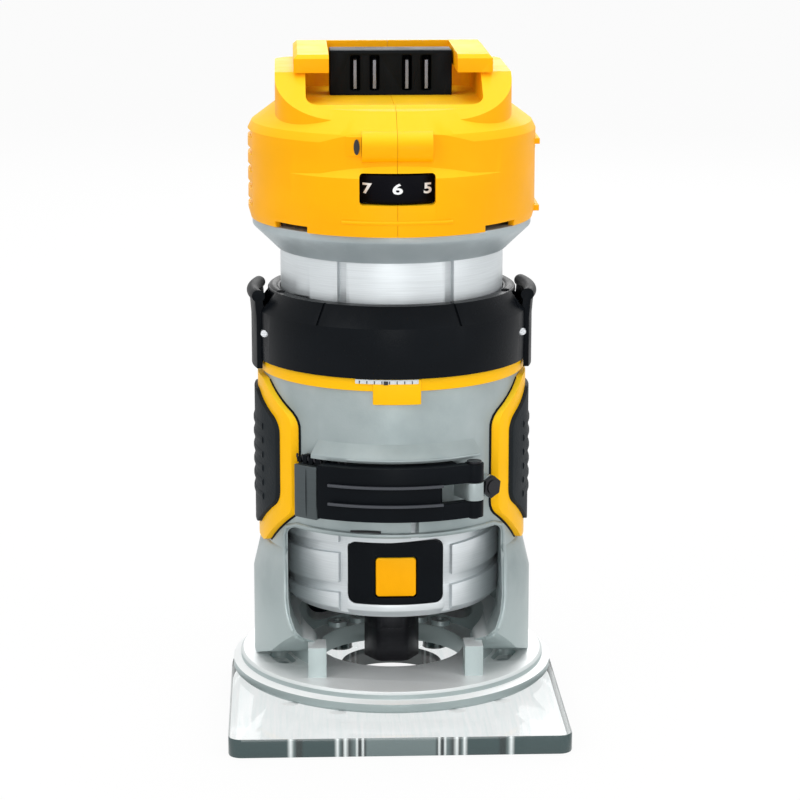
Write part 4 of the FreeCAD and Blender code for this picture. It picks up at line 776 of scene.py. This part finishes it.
def tube_along(name: str, path: list[Vector], radius: float, sides: int = 10) -> bpy.types.Object:
    """Round tube along a path, closed at both ends.

    Args:
        name: Name of the piece.
        path: Points of its middle in metres.
        radius: Radius in metres.
        sides: Faces round the tube.

    Returns:
        The piece.
    """
    points: list[Vector] = []
    for i, middle in enumerate(path):
        ahead = path[min(i + 1, len(path) - 1)] - path[max(i - 1, 0)]
        side = ahead.cross(Vector((0, -1, 0.2))).normalized()
        lift = side.cross(ahead).normalized()
        for k in range(sides):
            turn = 2 * math.pi * k / sides
            points.append(middle + radius * (math.cos(turn) * side + math.sin(turn) * lift))
    faces = [tuple(range(sides)), tuple(range((len(path) - 1) * sides, len(path) * sides))]
    for i in range(len(path) - 1):
        for k in range(sides):
            near, far = i * sides, (i + 1) * sides
            faces.append((near + k, near + (k + 1) % sides, far + (k + 1) % sides, far + k))
    return faced(name, points, faces)


@dataclass(frozen=True)
class Bars:
    """Row of equal bars round an axis that stands at CENTRE.

    Sizes are in metres: SIZE is the reach outwards, the width round the arc and the height of each bar.
    """

    count: int
    radius: float
    height: float
    start: float
    step: float
    size: Point
    centre: Point = (0.0, 0.0, 0.0)


class BarRow:
    """Geometry Nodes tree that stands bars round an arc."""

    def __init__(self) -> None:
        """Builds the tree."""
        self.tree = bpy.data.node_groups.new("bar_row", "GeometryNodeTree")
        self.sockets = {}
        face = self.tree.interface
        for title, kind in (("Count", "Int"), ("Radius", "Float"), ("Height", "Float"), ("Start", "Float"),
                            ("Step", "Float"), ("Size", "Vector"), ("Centre", "Vector"),
                            ("Material", "Material")):
            socket = face.new_socket(name=title, in_out="INPUT", socket_type="NodeSocket" + kind)
            self.sockets[title] = socket.identifier
        face.new_socket(name="Geometry", in_out="OUTPUT", socket_type="NodeSocketGeometry")
        self.wire()

    def node(self, kind: str, inputs: dict[object, object], **settings: object) -> bpy.types.Node:
        """A node with its inputs and properties set.

        Args:
            kind: Blender's name for the type of node.
            inputs: A socket to link or a value, for each input.
            **settings: Properties of the node and their values.

        Returns:
            The node.
        """
        node = self.tree.nodes.new(kind)
        for key, value in settings.items():
            setattr(node, key, value)
        for key, value in inputs.items():
            if isinstance(value, Socket):
                self.tree.links.new(value, node.inputs[key])
            else:
                node.inputs[key].default_value = value
        return node

    def maths(self, operation: str, first: object, second: object = 0.0) -> Socket:
        """Result of one sum on two values."""
        return self.node("ShaderNodeMath", {0: first, 1: second}, operation=operation).outputs[0]

    def wire(self) -> None:
        """Links the bars' places, turns and shape."""
        asked = self.tree.nodes.new("NodeGroupInput").outputs
        index = self.tree.nodes.new("GeometryNodeInputIndex").outputs[0]
        angle = self.maths("ADD", asked["Start"], self.maths("MULTIPLY", index, asked["Step"]))
        turn = self.maths("RADIANS", self.maths("SUBTRACT", angle, 90.0))
        x = self.maths("MULTIPLY", asked["Radius"], self.maths("COSINE", turn))
        y = self.maths("MULTIPLY", asked["Radius"], self.maths("SINE", turn))
        ring = self.node("ShaderNodeCombineXYZ", {0: x, 1: y, 2: asked["Height"]}).outputs[0]
        place = self.node("ShaderNodeVectorMath", {0: ring, 1: asked["Centre"]}, operation="ADD").outputs[0]
        points = self.node("GeometryNodePoints", {"Count": asked["Count"], "Position": place}).outputs[0]
        bar = self.node("GeometryNodeMeshCube", {"Size": asked["Size"]}).outputs[0]
        spin = self.node("ShaderNodeCombineXYZ", {2: turn}).outputs[0]
        laid = {"Points": points, "Instance": bar, "Rotation": spin}
        row = self.node("GeometryNodeInstanceOnPoints", laid).outputs[0]
        solid = self.node("GeometryNodeRealizeInstances", {"Geometry": row}).outputs[0]
        painted = {"Geometry": solid, "Material": asked["Material"]}
        done = self.node("GeometryNodeSetMaterial", painted).outputs[0]
        self.node("NodeGroupOutput", {"Geometry": done})

    def piece(self, name: str, bars: Bars, material: bpy.types.Material) -> bpy.types.Object:
        """The row of bars as a finished mesh.

        Args:
            name: Name of the piece.
            bars: How many bars, where, and their size.
            material: What they are made of.

        Returns:
            The piece, in place in its mesh.
        """
        piece = new_piece(name, bpy.data.meshes.new(name))
        modifier = piece.modifiers.new("bars", "NODES")
        modifier.node_group = self.tree
        for title, value in (("Count", bars.count), ("Radius", bars.radius), ("Height", bars.height),
                             ("Start", bars.start), ("Step", bars.step), ("Size", bars.size),
                             ("Centre", bars.centre), ("Material", material)):
            modifier[self.sockets[title]] = value
        return applied(piece)


@dataclass
class Workshop:
    """What every sub-assembly shares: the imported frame, the finishes and the bar rows."""

    frame: dict
    palette: Palette
    rows: BarRow

    def node(self, name: str) -> bpy.types.Object:
        """The construction node of that name."""
        return self.frame["nodes"][name]

    def box(self, name: str) -> tuple[Vector, Vector]:
        """Low and high corners of a construction node."""
        low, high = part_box(name)
        return Vector(low), Vector(high)

    def facing(self, name: str, flat: list[tuple[float, float]], lift: float) -> list[Vector]:
        """Points on a node's front.

        Args:
            name: The node.
            flat: The x and z of each point in metres.
            lift: How far the points stand in front of the surface.

        Returns:
            The points that a line towards +Y first meets on the front, without those that it misses.
        """
        mesh = self.node(name).data
        tree = BVHTree.FromPolygons([v.co for v in mesh.vertices], [tuple(f.vertices) for f in mesh.polygons])
        hits = [tree.ray_cast(Vector((x, -0.2, z)), Vector((0, 1, 0)))[0] for x, z in flat]
        return [hit - Vector((0, lift, 0)) for hit in hits if hit is not None and hit.y < -15 * MM]

    def front_edge(self, name: str, levels: list[float]) -> list[Vector]:
        """Line down the front edge of a node.

        Args:
            name: The node.
            levels: Heights in metres.

        Returns:
            The foremost point at each height, and of equal ones the innermost.
        """
        mesh = self.node(name).data
        points = []
        for z in levels:
            cuts = []
            for edge in mesh.edges:
                a, b = (mesh.vertices[k].co for k in edge.vertices)
                if (a.z - z) * (b.z - z) < 0:
                    cuts.append(a.lerp(b, (z - a.z) / (b.z - a.z)))
            foremost = min(point.y for point in cuts)
            front = [point for point in cuts if point.y < foremost + 0.15 * MM]
            points.append(min(front, key=lambda point: abs(point.x)))
        return points

    def dress(self, name: str, finish: Finishes) -> None:
        """Gives a construction node a finish and keeps its shape.

        Args:
            name: The node.
            finish: What its surface is.
        """
        node = self.node(name)
        material = self.palette.of(finish)
        if not node.material_slots:
            node.data.materials.append(material)
        for place in node.material_slots:
            place.material = material

    def soften(self, name: str, body: str, finish: Finishes, slot: str, width: float,
               segments: int = 2, angle: float = 32.0) -> bpy.types.Object:
        """Shows a construction node with rounded edges.

        Args:
            name: The node.
            body: The body that it moves with.
            finish: What its surface is.
            slot: The record's material slot.
            width: Width of the rounding in metres.
            segments: Faces across the rounding.
            angle: Edges sharper than this many degrees are rounded.

        Returns:
            The piece that stands for the node.
        """
        piece = soft_copy(self.node(name), name + "_finished", width, segments, angle)
        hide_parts(name)
        return self.fit(piece, body, finish, slot)

    def fit(self, piece: bpy.types.Object, body: str, finish: Finishes, slot: str) -> bpy.types.Object:
        """Finishes a new piece and puts it on its body.

        Args:
            piece: The piece, in place in its mesh.
            body: The body that it moves with.
            finish: What its surface is.
            slot: The record's material slot; not used.

        Returns:
            The same piece.
        """
        paint(piece, self.palette.of(finish))
        shade(piece)
        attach(piece, body)
        LOG.info("%s: %d faces", piece.name, len(piece.data.polygons))
        return piece

    def row(self, name: str, bars: Bars, body: str, finish: Finishes, slot: str) -> bpy.types.Object:
        """A row of equal bars on a body.

        Args:
            name: Name of the piece.
            bars: The row.
            body: The body that it moves with.
            finish: What its surface is.
            slot: The record's material slot.

        Returns:
            The piece.
        """
        return self.fit(self.rows.piece(name, bars, self.palette.of(finish)), body, finish, slot)


@dataclass
class Base:
    """Clear sole, casting, grips, clamp and lever."""

    shop: Workshop
    edge: float = 0.7 * MM
    bead: float = 0.75 * MM
    # Painted glints on the clear sole: circle, height, angles and half sizes of the white ovals.
    boss_circle: float = 51.6 * MM
    boss_level: float = 6.05 * MM
    boss_angles: tuple[float, ...] = (-39.4, -20.6, 20.6, 39.4)
    boss_half: tuple[float, float] = (2.6 * MM, 1.7 * MM)
    window_half: float = 34.0
    window_top: float = 59.2
    corner_centre: tuple[float, float] = (24.0, 36.0)
    corner_half: tuple[float, float] = (10.0, 15.5)
    # Painted shade of the slot above the front window: the line of the black strip, and below it its half
    # width.
    slot_line: tuple[tuple[float, float], ...] = (
        (-13.9, 59.9), (-11.4, 60.1), (-9.2, 60.2), (-7.0, 60.2), (-4.8, 60.1),
    )
    slot_half: float = 0.5 * MM
    rib_count: int = 6
    rib_half: float = 1.1 * MM
    rib_height: float = 0.4 * MM
    rib_sweep: float = 40.0
    rib_first: float = 0.24
    rib_step: float = 0.104
    seam_steps: int = 40
    seam_radius: float = 0.42 * MM
    seam_margin: float = 0.6 * MM
    fold_start: float = -39.5
    fold_sweep: float = 1.6
    teeth: tuple[tuple[float, float], ...] = (
        (-43.0, 1.5), (-40.0, 2.5), (-37.0, 1.8), (-33.5, 2.9), (-30.0, 2.6), (-26.5, 1.7), (-23.0, 1.2),
    )
    tooth_radius: float = 41.9 * MM
    tooth_depth: float = 2.4 * MM
    tooth_width: float = 1.5 * MM
    coil_steps: int = 60
    coil_radius: float = 42.2
    coil_start: float = -45.0
    coil_sweep: float = 25.0
    coil_turn: float = 0.9
    wire: float = 0.35 * MM
    well_wall: tuple[float, float] = (44.6 * MM, 45.0 * MM)
    well_reach: tuple[float, float] = (70.4 * MM, 76.2 * MM)
    lip_radius: float = 43.95 * MM
    lip_level: float = 83.3 * MM
    lip_half: float = 0.55 * MM
    ridge_half: float = 0.45 * MM
    ridge_height: float = 0.35 * MM
    ridge_shares: tuple[float, float] = (0.32, 0.67)

    def window_outline(self) -> list[tuple[float, float]]:
        """Outline of the front window, from one lower corner over the top to the other.

        Returns:
            The x and z of each point in millimetres.
        """
        (x, z), (wide, tall) = self.corner_centre, self.corner_half
        bend = [math.radians(a) for a in (62, 50, 38, 26, 13, 0)]
        right = [(x + wide * math.cos(a), z - tall * math.sin(a)) for a in bend]
        right += [(self.window_half, level) for level in (40.0, 46.0, 51.0, 55.0)]
        right += [(33.0, 57.8), (30.2, self.window_top)]
        flat = right + [(across, self.window_top) for across in range(26, -1, -4)]
        return flat + [(-across, level) for across, level in reversed(flat) if across > 0]

    def casting(self) -> None:
        """Casting and sole, with painted white glints on the sole where its screw holes catch light, the bead
        round the front window and painted shade for the slot above it.
        """
        shop = self.shop
        shop.soften("sub_base", "base", Finishes.CLEAR, "clear", 0.5 * MM)
        shop.dress("sub_base_screws", Finishes.STEEL)
        # Painted glints: flat white ovals on the clear sole stand in for light caught in its screw holes.
        turns = [math.radians(20 * n) for n in range(18)]
        for k, angle in enumerate(self.boss_angles):
            place = around(self.boss_circle, angle, self.boss_level)
            across, along = self.boss_half
            rim = [place + Vector((across * math.cos(t), along * math.sin(t), 0)) for t in turns]
            shop.fit(faced(f"painted_sole_glint_{k}", rim, [tuple(range(18))]), "base", Finishes.WHITE, "clear")
        shop.soften("base_casting", "base", Finishes.CASTING, "casting", self.edge, 3)
        shop.dress("chip_shield", Finishes.BLACK)
        outline = [(x * MM, z * MM) for x, z in self.window_outline()]
        path = shop.facing("base_casting", outline, 0.1 * MM)
        shop.fit(tube_along("window_bead", path, self.bead, 10), "base", Finishes.CASTING, "casting")
        # Painted shade: a thin black line lies where the slot above the window would be dark.
        line = shop.facing("base_casting", [(x * MM, z * MM) for x, z in self.slot_line], 0.0)
        slot = tube_along("painted_slot_shade", line, self.slot_half, 8)
        shop.fit(slot, "base", Finishes.PRINT_BLACK, "black_plastic")

    def sides(self) -> None:
        """Trims and rubber pads, each pad with shallow ribs."""
        shop = self.shop
        for side, sign in (("left", -1), ("right", 1)):
            shop.soften("grip_trim_" + side, "base", Finishes.TRIM, "yellow_plastic", 0.6 * MM, 3, 28.0)
            shop.soften("grip_" + side, "base", Finishes.RUBBER, "rubber", 0.9 * MM, 3, 28.0)
            low, high = shop.box("grip_" + side)
            radius = max(abs(low.x), abs(high.x))
            foot, top = shop.box("grip_trim_" + side)
            rise = top.z - foot.z - 2 * self.seam_margin
            start = foot.z + self.seam_margin
            levels = [start + rise * k / self.seam_steps for k in range(self.seam_steps + 1)]
            inset = Vector((-sign * 0.25 * MM, -0.15 * MM, 0))
            line = [point + inset for point in shop.front_edge("grip_trim_" + side, levels)]
            seam = tube_along("trim_seam_" + side, line, self.seam_radius, 8)
            shop.fit(seam, "base", Finishes.BLACK, "black_plastic")
            for k in range(self.rib_count):
                z = low.z + (high.z - low.z) * (self.rib_first + self.rib_step * k)
                rib = ridge(f"grip_rib_{side}_{k}", radius, z, self.rib_half, self.rib_height,
                            sign * 90 - self.rib_sweep / 2, self.rib_sweep)
                shop.fit(rib, "base", Finishes.RUBBER, "rubber")

    def strap(self) -> None:
        """Strap with its fold, the adjuster's teeth and spring, and the clamp's fasteners."""
        shop = self.shop
        strap = shop.soften("clamp_strap", "base", Finishes.STRAP, "steel", 0.3 * MM)
        low, high = shop.box("clamp_strap")
        outer = max(v.co.xy.length for v in strap.data.vertices)
        half = (high.z - low.z) / 2 - 0.4 * MM
        fold = ridge("strap_fold", outer, (low.z + high.z) / 2, half, self.ridge_height,
                     self.fold_start, self.fold_sweep)
        shop.fit(fold, "base", Finishes.STRAP, "steel")
        for k, (angle, size) in enumerate(self.teeth):
            middle = high.z + 0.4 * MM + size * MM / 2
            tooth = Bars(1, self.tooth_radius, middle, angle, 0.0,
                         (self.tooth_depth, self.tooth_width, size * MM))
            shop.row(f"adjuster_tooth_{k}", tooth, "base", Finishes.BLACK, "black_plastic")
        coil = []
        for k in range(self.coil_steps + 1):
            turn = k * self.coil_turn
            radius = (self.coil_radius + 0.5 * math.sin(turn)) * MM
            level = high.z + (1.6 + 0.9 * math.cos(turn)) * MM
            coil.append(around(radius, self.coil_start + self.coil_sweep * k / self.coil_steps, level))
        shop.fit(tube_along("adjuster_spring", coil, self.wire), "base", Finishes.DARK_STEEL, "dark_steel")
        shop.dress("clamp_bolt", Finishes.DARK_STEEL)
        shop.dress("clamp_nut", Finishes.DARK_STEEL)
        shop.dress("lever_pin", Finishes.DARK_STEEL)

    def lever(self) -> None:
        """Lever with its well and two ridges, and the lip of the ledge above it."""
        shop = self.shop
        (inner, outer), (foot, top) = self.well_wall, self.well_reach
        well = [(inner, foot), (outer, foot), (outer, top), (inner, top)]
        shop.fit(swept("lever_well", well, 8.5, 9.0), "lever", Finishes.BLACK, "black_plastic")
        lip = ridge("ledge_lip", self.lip_radius, self.lip_level, self.lip_half, self.ridge_height,
                    -20.0, 55.0)
        shop.fit(lip, "base", Finishes.CASTING, "casting")
        lever = shop.soften("lock_lever", "lever", Finishes.BLACK, "black_plastic", 0.6 * MM, 3)
        radius = max(v.co.xy.length for v in lever.data.vertices)
        low, high = shop.box("lock_lever")
        for k, share in enumerate(self.ridge_shares):
            level = low.z + share * (high.z - low.z)
            line = ridge(f"lever_ridge_{k}", radius - 0.02 * MM, level, self.ridge_half, self.ridge_height,
                         -25.0, 41.0)
            shop.fit(line, "lever", Finishes.RIDGE, "black_plastic")

    def build(self) -> None:
        """Dresses the base."""
        self.casting()
        self.sides()
        self.strap()
        self.lever()


@dataclass
class DepthRing:
    """Scale ring, depth ring and its release tabs."""

    shop: Workshop
    scale_radius: float = 41.85 * MM
    label_sink: float = 1.2 * MM
    label_proud: float = 0.1 * MM
    label_foot: float = 1.35 * MM
    label_top: float = 0.05 * MM
    label_start: float = -17.3
    label_sweep: float = 26.1
    tick_size: Point = (0.12 * MM, 0.28 * MM, 0.9 * MM)
    pointer_size: Point = (0.2 * MM, 1.3 * MM, 1.1 * MM)
    pointer_angle: float = -4.6
    tick_count: int = 8
    tick_start: float = -15.5
    tick_step: float = 3.1

    def build(self) -> None:
        """Dresses the ring and prints the fine scale."""
        shop = self.shop
        shop.soften("scale_ring", "scale", Finishes.TRIM, "yellow_plastic", 0.4 * MM)
        low, high = shop.box("scale_ring")
        radius = self.scale_radius
        inner, outer = radius - self.label_sink, radius + self.label_proud
        foot, top = high.z - self.label_foot, high.z - self.label_top
        label = [(inner, foot), (outer, foot), (outer, top), (inner, top)]
        silver = swept("scale_label", label, self.label_start, self.label_sweep)
        shop.fit(silver, "scale", Finishes.SILVER, "collar_grey")
        ticks = Bars(self.tick_count, radius + 0.12 * MM, high.z - 0.9 * MM, self.tick_start, self.tick_step,
                     self.tick_size)
        shop.row("scale_ticks", ticks, "scale", Finishes.PRINT_BLACK, "black_plastic")
        arrow = Bars(1, radius + 0.16 * MM, high.z - 1.0 * MM, self.pointer_angle, 0.0, self.pointer_size)
        shop.row("scale_pointer", arrow, "scale", Finishes.PRINT_BLACK, "black_plastic")
        shop.soften("depth_ring", "ring", Finishes.GLOSS, "black_plastic", 0.6 * MM, 3)
        shop.dress("tab_pins", Finishes.STEEL)
        for side in ("left", "right"):
            shop.soften("release_tab_" + side, "tab_" + side, Finishes.BLACK, "black_plastic", 0.6 * MM)


@dataclass
class Motor:
    """Threaded can, lock panel, spindle and what is inside."""

    shop: Workshop
    lock_travel: float = 3.0 * MM
    steel: tuple[str, ...] = (
        "stator_core", "rotor", "lower_bearing_outer", "upper_bearing_outer", "lower_bearing_inner",
        "upper_bearing_inner", "bearing_balls", "spindle_shaft", "collet",
    )

    def build(self) -> None:
        """Dresses the motor and spindle."""
        shop = self.shop
        shop.soften("motor_can", "motor", Finishes.BRIGHT, "machined", 0.35 * MM, 2, 40.0)
        shop.soften("front_panel", "motor", Finishes.BLACK, "black_plastic", 0.3 * MM)
        shop.soften("lock_button", "button", Finishes.YELLOW, "yellow_plastic", 0.5 * MM)
        spring = shop.soften("lock_spring", "motor", Finishes.STEEL, "steel", 0.02 * MM, 1, 80.0)
        low, high = shop.box("lock_spring")
        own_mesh(spring)
        shop.soften("collar", "motor", Finishes.COLLAR, "collar_grey", 0.5 * MM)
        for name in self.steel:
            shop.dress(name, Finishes.STEEL)
        shop.dress("stator_windings", Finishes.COPPER)
        shop.dress("bearing_carrier", Finishes.BRIGHT)
        shop.dress("led_board", Finishes.BOARD)
        shop.dress("controller_board", Finishes.BOARD)
        shop.dress("led_lenses", Finishes.LENS)
        shop.dress("cooling_fan", Finishes.BLACK)
        shop.soften("collet_nut", "spindle", Finishes.DARK_STEEL, "dark_steel", 0.5 * MM)


@dataclass
class Head:
    """Yellow housing with its dial, switch and battery terminals."""

    shop: Workshop
    dial_step: float = 34.0
    dial_rest: int = 6
    dial_last: int = 7
    digit_height: float = 3.1 * MM
    digit_stretch: float = 1.5
    print_gap: float = 0.05 * MM
    rocker_tilt: float = 12.0
    seat_foot: float = 174.9
    seat_rise: float = 0.8
    seat_start: float = -20.3
    seat_sweep: float = 6.3
    # Painted shade of the screw hole: middle and half sizes of the black oval, in millimetres.
    mouth_middle: tuple[float, float] = (-11.9, 177.6)
    mouth_half: tuple[float, float] = (0.85, 2.3)
    crease_radius: float = 45.75 * MM
    crease_level: float = 155.6 * MM

    def digit(self, text: str, height: float) -> bpy.types.Mesh:
        """Flat mesh of one bold digit that faces -Y, with its middle at the origin.

        Args:
            text: The digit.
            height: Its height in metres.

        Returns:
            The mesh.
        """
        curve = bpy.data.curves.new("digit_" + text, "FONT")
        curve.body = text
        curve.align_x = "CENTER"
        curve.align_y = "CENTER"
        curve.size = height * 1.36
        curve.offset = height * 0.035
        curve.extrude = 0.1 * MM
        writer = bpy.data.objects.new("digit_" + text, curve)
        bpy.context.scene.collection.objects.link(writer)
        graph = bpy.context.evaluated_depsgraph_get()
        graph.update()
        mesh = bpy.data.meshes.new_from_object(writer.evaluated_get(graph))
        bpy.data.objects.remove(writer)
        upright = Matrix.Rotation(math.radians(90), 4, "X")
        mesh.transform(upright @ Matrix.Diagonal((self.digit_stretch, 1.0, 1.0, 1.0)))
        return mesh

    def dial_numbers(self) -> None:
        """Prints the numbers round the thumbwheel, with the number at rest in front."""
        low, high = self.shop.box("speed_dial")
        radius = (high.y - low.y) / 2
        middle = (low + high) / 2
        for number in range(1, self.dial_last + 1):
            piece = new_piece(f"dial_number_{number}", self.digit(str(number), self.digit_height))
            turn = (self.dial_rest - number) * self.dial_step
            for corner in piece.data.vertices:
                angle = math.radians(turn) + corner.co.x / radius
                reach = radius + self.print_gap - corner.co.y
                x, y = middle.x + reach * math.sin(angle), middle.y - reach * math.cos(angle)
                corner.co = (x, y, middle.z + corner.co.z)
            self.shop.fit(piece, "dial", Finishes.WHITE, "black_plastic")

    def rocker_marks(self) -> None:
        """Prints I and O on the rocker's face."""
        low, high = self.shop.box("power_rocker")
        half = (high.z - low.z) / 2
        slope = math.tan(math.radians(self.rocker_tilt)) / 2
        mast = [(y * 0.4 * MM, half * 0.5 + z * 1.6 * MM) for y, z in ((-1, -1), (1, -1), (1, 1), (-1, 1))]
        rounds = [math.radians(20 * k) for k in range(18)]
        ring = [(1.5 * MM * math.cos(a), -half * 0.5 + 1.7 * MM * math.sin(a)) for a in rounds]
        hole = [(0.9 * MM * math.cos(a), -half * 0.5 + 1.1 * MM * math.sin(a)) for a in rounds]
        circle = [(k, (k + 1) % 18, 18 + (k + 1) % 18, 18 + k) for k in range(18)]
        face = high.x - half * slope
        middle = (low.z + high.z) / 2
        for name, outline, faces in (("mark_on", mast, [(0, 1, 2, 3)]), ("mark_off", ring + hole, circle)):
            points = [Vector((face + z * slope + 0.08 * MM, y, middle + z)) for y, z in outline]
            self.shop.fit(faced(name, points, faces), "rocker", Finishes.WHITE, "black_plastic")

    def screw_seat(self) -> None:
        """Closes the square room left of the barrel and paints the shade of the screw's oval hole in it as a
        flat black oval.
        """
        levels = [(self.seat_foot + self.seat_rise * k) * MM for k in range(9)]
        wall = self.shop.facing("housing_left", [(-14.9 * MM, z) for z in levels], 0.0)
        reach = [(math.hypot(point.x, point.y), point.z) for point in wall]
        profile = [(radius + 0.12 * MM, z) for radius, z in reach]
        profile += [(radius - 1.0 * MM, z) for radius, z in reversed(reach)]
        seat = swept("screw_seat", profile, self.seat_start, self.seat_sweep)
        self.shop.fit(seat, "motor", Finishes.YELLOW, "yellow_plastic")
        # Painted shade: a flat black oval stands where the screw hole's recess would be dark.
        (across, level), (wide, tall) = self.mouth_middle, self.mouth_half
        rim = []
        for k in range(20):
            turn = math.radians(18 * k)
            x, z = (across + wide * math.cos(turn)) * MM, (level + tall * math.sin(turn)) * MM
            radius = min(reach, key=lambda pair: abs(pair[1] - z))[0] + 0.35 * MM
            rim.append(Vector((x, -math.sqrt(radius ** 2 - x ** 2), z)))
        painted_shade_oval = faced("painted_screw_hole_shade", rim, [tuple(range(20))])
        self.shop.fit(painted_shade_oval, "motor", Finishes.PRINT_BLACK, "black_plastic")

    def build(self) -> None:
        """Dresses the head."""
        shop = self.shop
        for side in ("left", "right"):
            shop.soften("housing_" + side, "motor", Finishes.YELLOW, "yellow_plastic", 0.9 * MM, 3, 26.0)
        shop.dress("head_screws", Finishes.DARK_STEEL)
        shop.dress("dial_control", Finishes.BLACK)
        shop.soften("switch_bezel", "motor", Finishes.YELLOW, "yellow_plastic", 0.4 * MM)
        shop.soften("terminal_block", "motor", Finishes.BLACK, "black_plastic", 0.4 * MM)
        shop.dress("terminal_blades", Finishes.BLADE)
        shop.soften("speed_dial", "dial", Finishes.DIAL, "black_plastic", 0.4 * MM)
        shop.soften("power_rocker", "rocker", Finishes.BLACK, "black_plastic", 0.4 * MM)
        self.screw_seat()
        self.dial_numbers()
        self.rocker_marks()
        crease = ridge("chin_crease", self.crease_radius, self.crease_level, 0.5 * MM, 0.35 * MM, -21.0, 42.0)
        shop.fit(crease, "motor", Finishes.YELLOW, "yellow_plastic")


# ---------------------------------------------------------------- studio


@dataclass
class Studio:
    """Pale floor, soft lamps and the camera."""

    distance: float = 0.843
    lens: float = 120.6
    pitch: float = 12.9
    azimuth: float = -2.3
    aim_height: float = 0.0922
    shift: float = 0.0106
    glow: float = 0.92
    ambient: float = 0.56

    def seen(self, tree: bpy.types.NodeTree) -> Socket:
        """Tells what the camera sees, straight or by gloss or through glass, from what lights surfaces.

        Args:
            tree: Node tree of the floor or of the world.

        Returns:
            1 for what the camera sees and 0 for the rest.
        """
        path = tree.nodes.new("ShaderNodeLightPath")
        found = path.outputs["Is Camera Ray"]
        for name in ("Is Glossy Ray", "Is Transmission Ray"):
            either = tree.nodes.new("ShaderNodeMath")
            either.operation = "MAXIMUM"
            tree.links.new(found, either.inputs[0])
            tree.links.new(path.outputs[name], either.inputs[1])
            found = either.outputs[0]
        return found

    def floor(self, low: float) -> None:
        """Plain floor that stays white to the camera and keeps the object's shadow.

        Args:
            low: Height of the object's underside in metres.
        """
        bpy.ops.mesh.primitive_plane_add(size=8.0, location=(0, 0, low - 0.00005))
        floor = bpy.context.object
        floor.name = "floor"
        material, shader = principled("floor_paper")
        shader.inputs["Base Color"].default_value = (0.9, 0.9, 0.9, 1.0)
        shader.inputs["Roughness"].default_value = 0.85
        shader.inputs["Specular IOR Level"].default_value = 0.1
        tree = material.node_tree
        glow = tree.nodes.new("ShaderNodeEmission")
        glow.inputs["Color"].default_value = (1.0, 1.0, 1.0, 1.0)
        share = tree.nodes.new("ShaderNodeMath")
        share.operation = "MULTIPLY"
        share.inputs[1].default_value = self.glow
        tree.links.new(self.seen(tree), share.inputs[0])
        mix = tree.nodes.new("ShaderNodeMixShader")
        tree.links.new(share.outputs[0], mix.inputs[0])
        tree.links.new(shader.outputs[0], mix.inputs[1])
        tree.links.new(glow.outputs[0], mix.inputs[2])
        tree.links.new(mix.outputs[0], tree.nodes["Material Output"].inputs["Surface"])
        floor.data.materials.append(material)
        floor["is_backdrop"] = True

    def world(self) -> None:
        """White surroundings for the camera, gloss and glass, and a softer light on surfaces."""
        world = bpy.data.worlds.new("studio")
        bpy.context.scene.world = world
        world.use_nodes = True
        tree = world.node_tree
        background = tree.nodes["Background"]
        background.inputs["Color"].default_value = (1.0, 1.0, 1.0, 1.0)
        background.inputs["Strength"].default_value = self.ambient
        seen = tree.nodes.new("ShaderNodeBackground")
        seen.inputs["Color"].default_value = (1.0, 1.0, 1.0, 1.0)
        seen.inputs["Strength"].default_value = 1.0
        mix = tree.nodes.new("ShaderNodeMixShader")
        tree.links.new(self.seen(tree), mix.inputs[0])
        tree.links.new(background.outputs[0], mix.inputs[1])
        tree.links.new(seen.outputs[0], mix.inputs[2])
        tree.links.new(mix.outputs[0], tree.nodes["World Output"].inputs["Surface"])

    def lamp(self, name: str, place: Point, size: float, power: float, aim: Point = (0, 0, 0.1)) -> None:
        """Square soft lamp.

        Args:
            name: Name of the lamp.
            place: Where it stands, in metres.
            size: Length of its side in metres.
            power: Its power in watts.
            aim: Point that it faces.
        """
        light = bpy.data.lights.new(name, "AREA")
        light.size = size
        light.energy = power
        lamp = bpy.data.objects.new(name, light)
        lamp.location = place
        lamp.rotation_euler = (Vector(aim) - Vector(place)).to_track_quat("-Z", "Y").to_euler()
        bpy.context.scene.collection.objects.link(lamp)

    def camera(self) -> None:
        """Camera in front of the router, a little above it."""
        lens = bpy.data.cameras.new("camera")
        lens.sensor_width = 36.0
        lens.lens = self.lens
        lens.shift_x = self.shift
        lens.clip_start = 0.01
        camera = bpy.data.objects.new("camera", lens)
        turn = math.radians(self.azimuth)
        rise = math.radians(self.pitch)
        way = Vector((math.sin(turn) * math.cos(rise), -math.cos(turn) * math.cos(rise), math.sin(rise)))
        aim = Vector((0, 0, self.aim_height))
        camera.location = aim + way * self.distance
        camera.rotation_euler = (-way).to_track_quat("-Z", "Y").to_euler()
        bpy.context.scene.collection.objects.link(camera)
        bpy.context.scene.camera = camera

    def build(self, low: float) -> None:
        """Sets the whole studio.

        Args:
            low: Height of the object's underside in metres.
        """
        self.floor(low)
        self.world()
        self.lamp("key", (-0.8, -0.8, 0.85), 0.8, 4.4)
        self.lamp("fill", (0.95, -0.7, 0.55), 0.9, 3.6)
        self.lamp("low", (0.0, -1.1, 0.19), 0.35, 1.6, (0, 0, 0.01))
        self.lamp("top", (0.0, 0.1, 1.2), 0.9, 5.0)
        self.lamp("back", (0.2, 1.0, 0.7), 0.8, 4.0)
        self.camera()
        bpy.context.scene.view_settings.view_transform = "Standard"


def main() -> None:
    """Builds the router's finished look."""
    logging.basicConfig(level=logging.INFO, format="%(name)s: %(message)s")
    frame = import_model()
    cad_box = [list(corner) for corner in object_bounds()]
    shop = Workshop(frame, Palette(), BarRow())
    for section in (Base(shop), DepthRing(shop), Motor(shop), Head(shop)):
        section.build()
        LOG.info("%s dressed", type(section).__name__)
    Studio().build(cad_box[0][2])


if __name__ == "__main__":
    main()
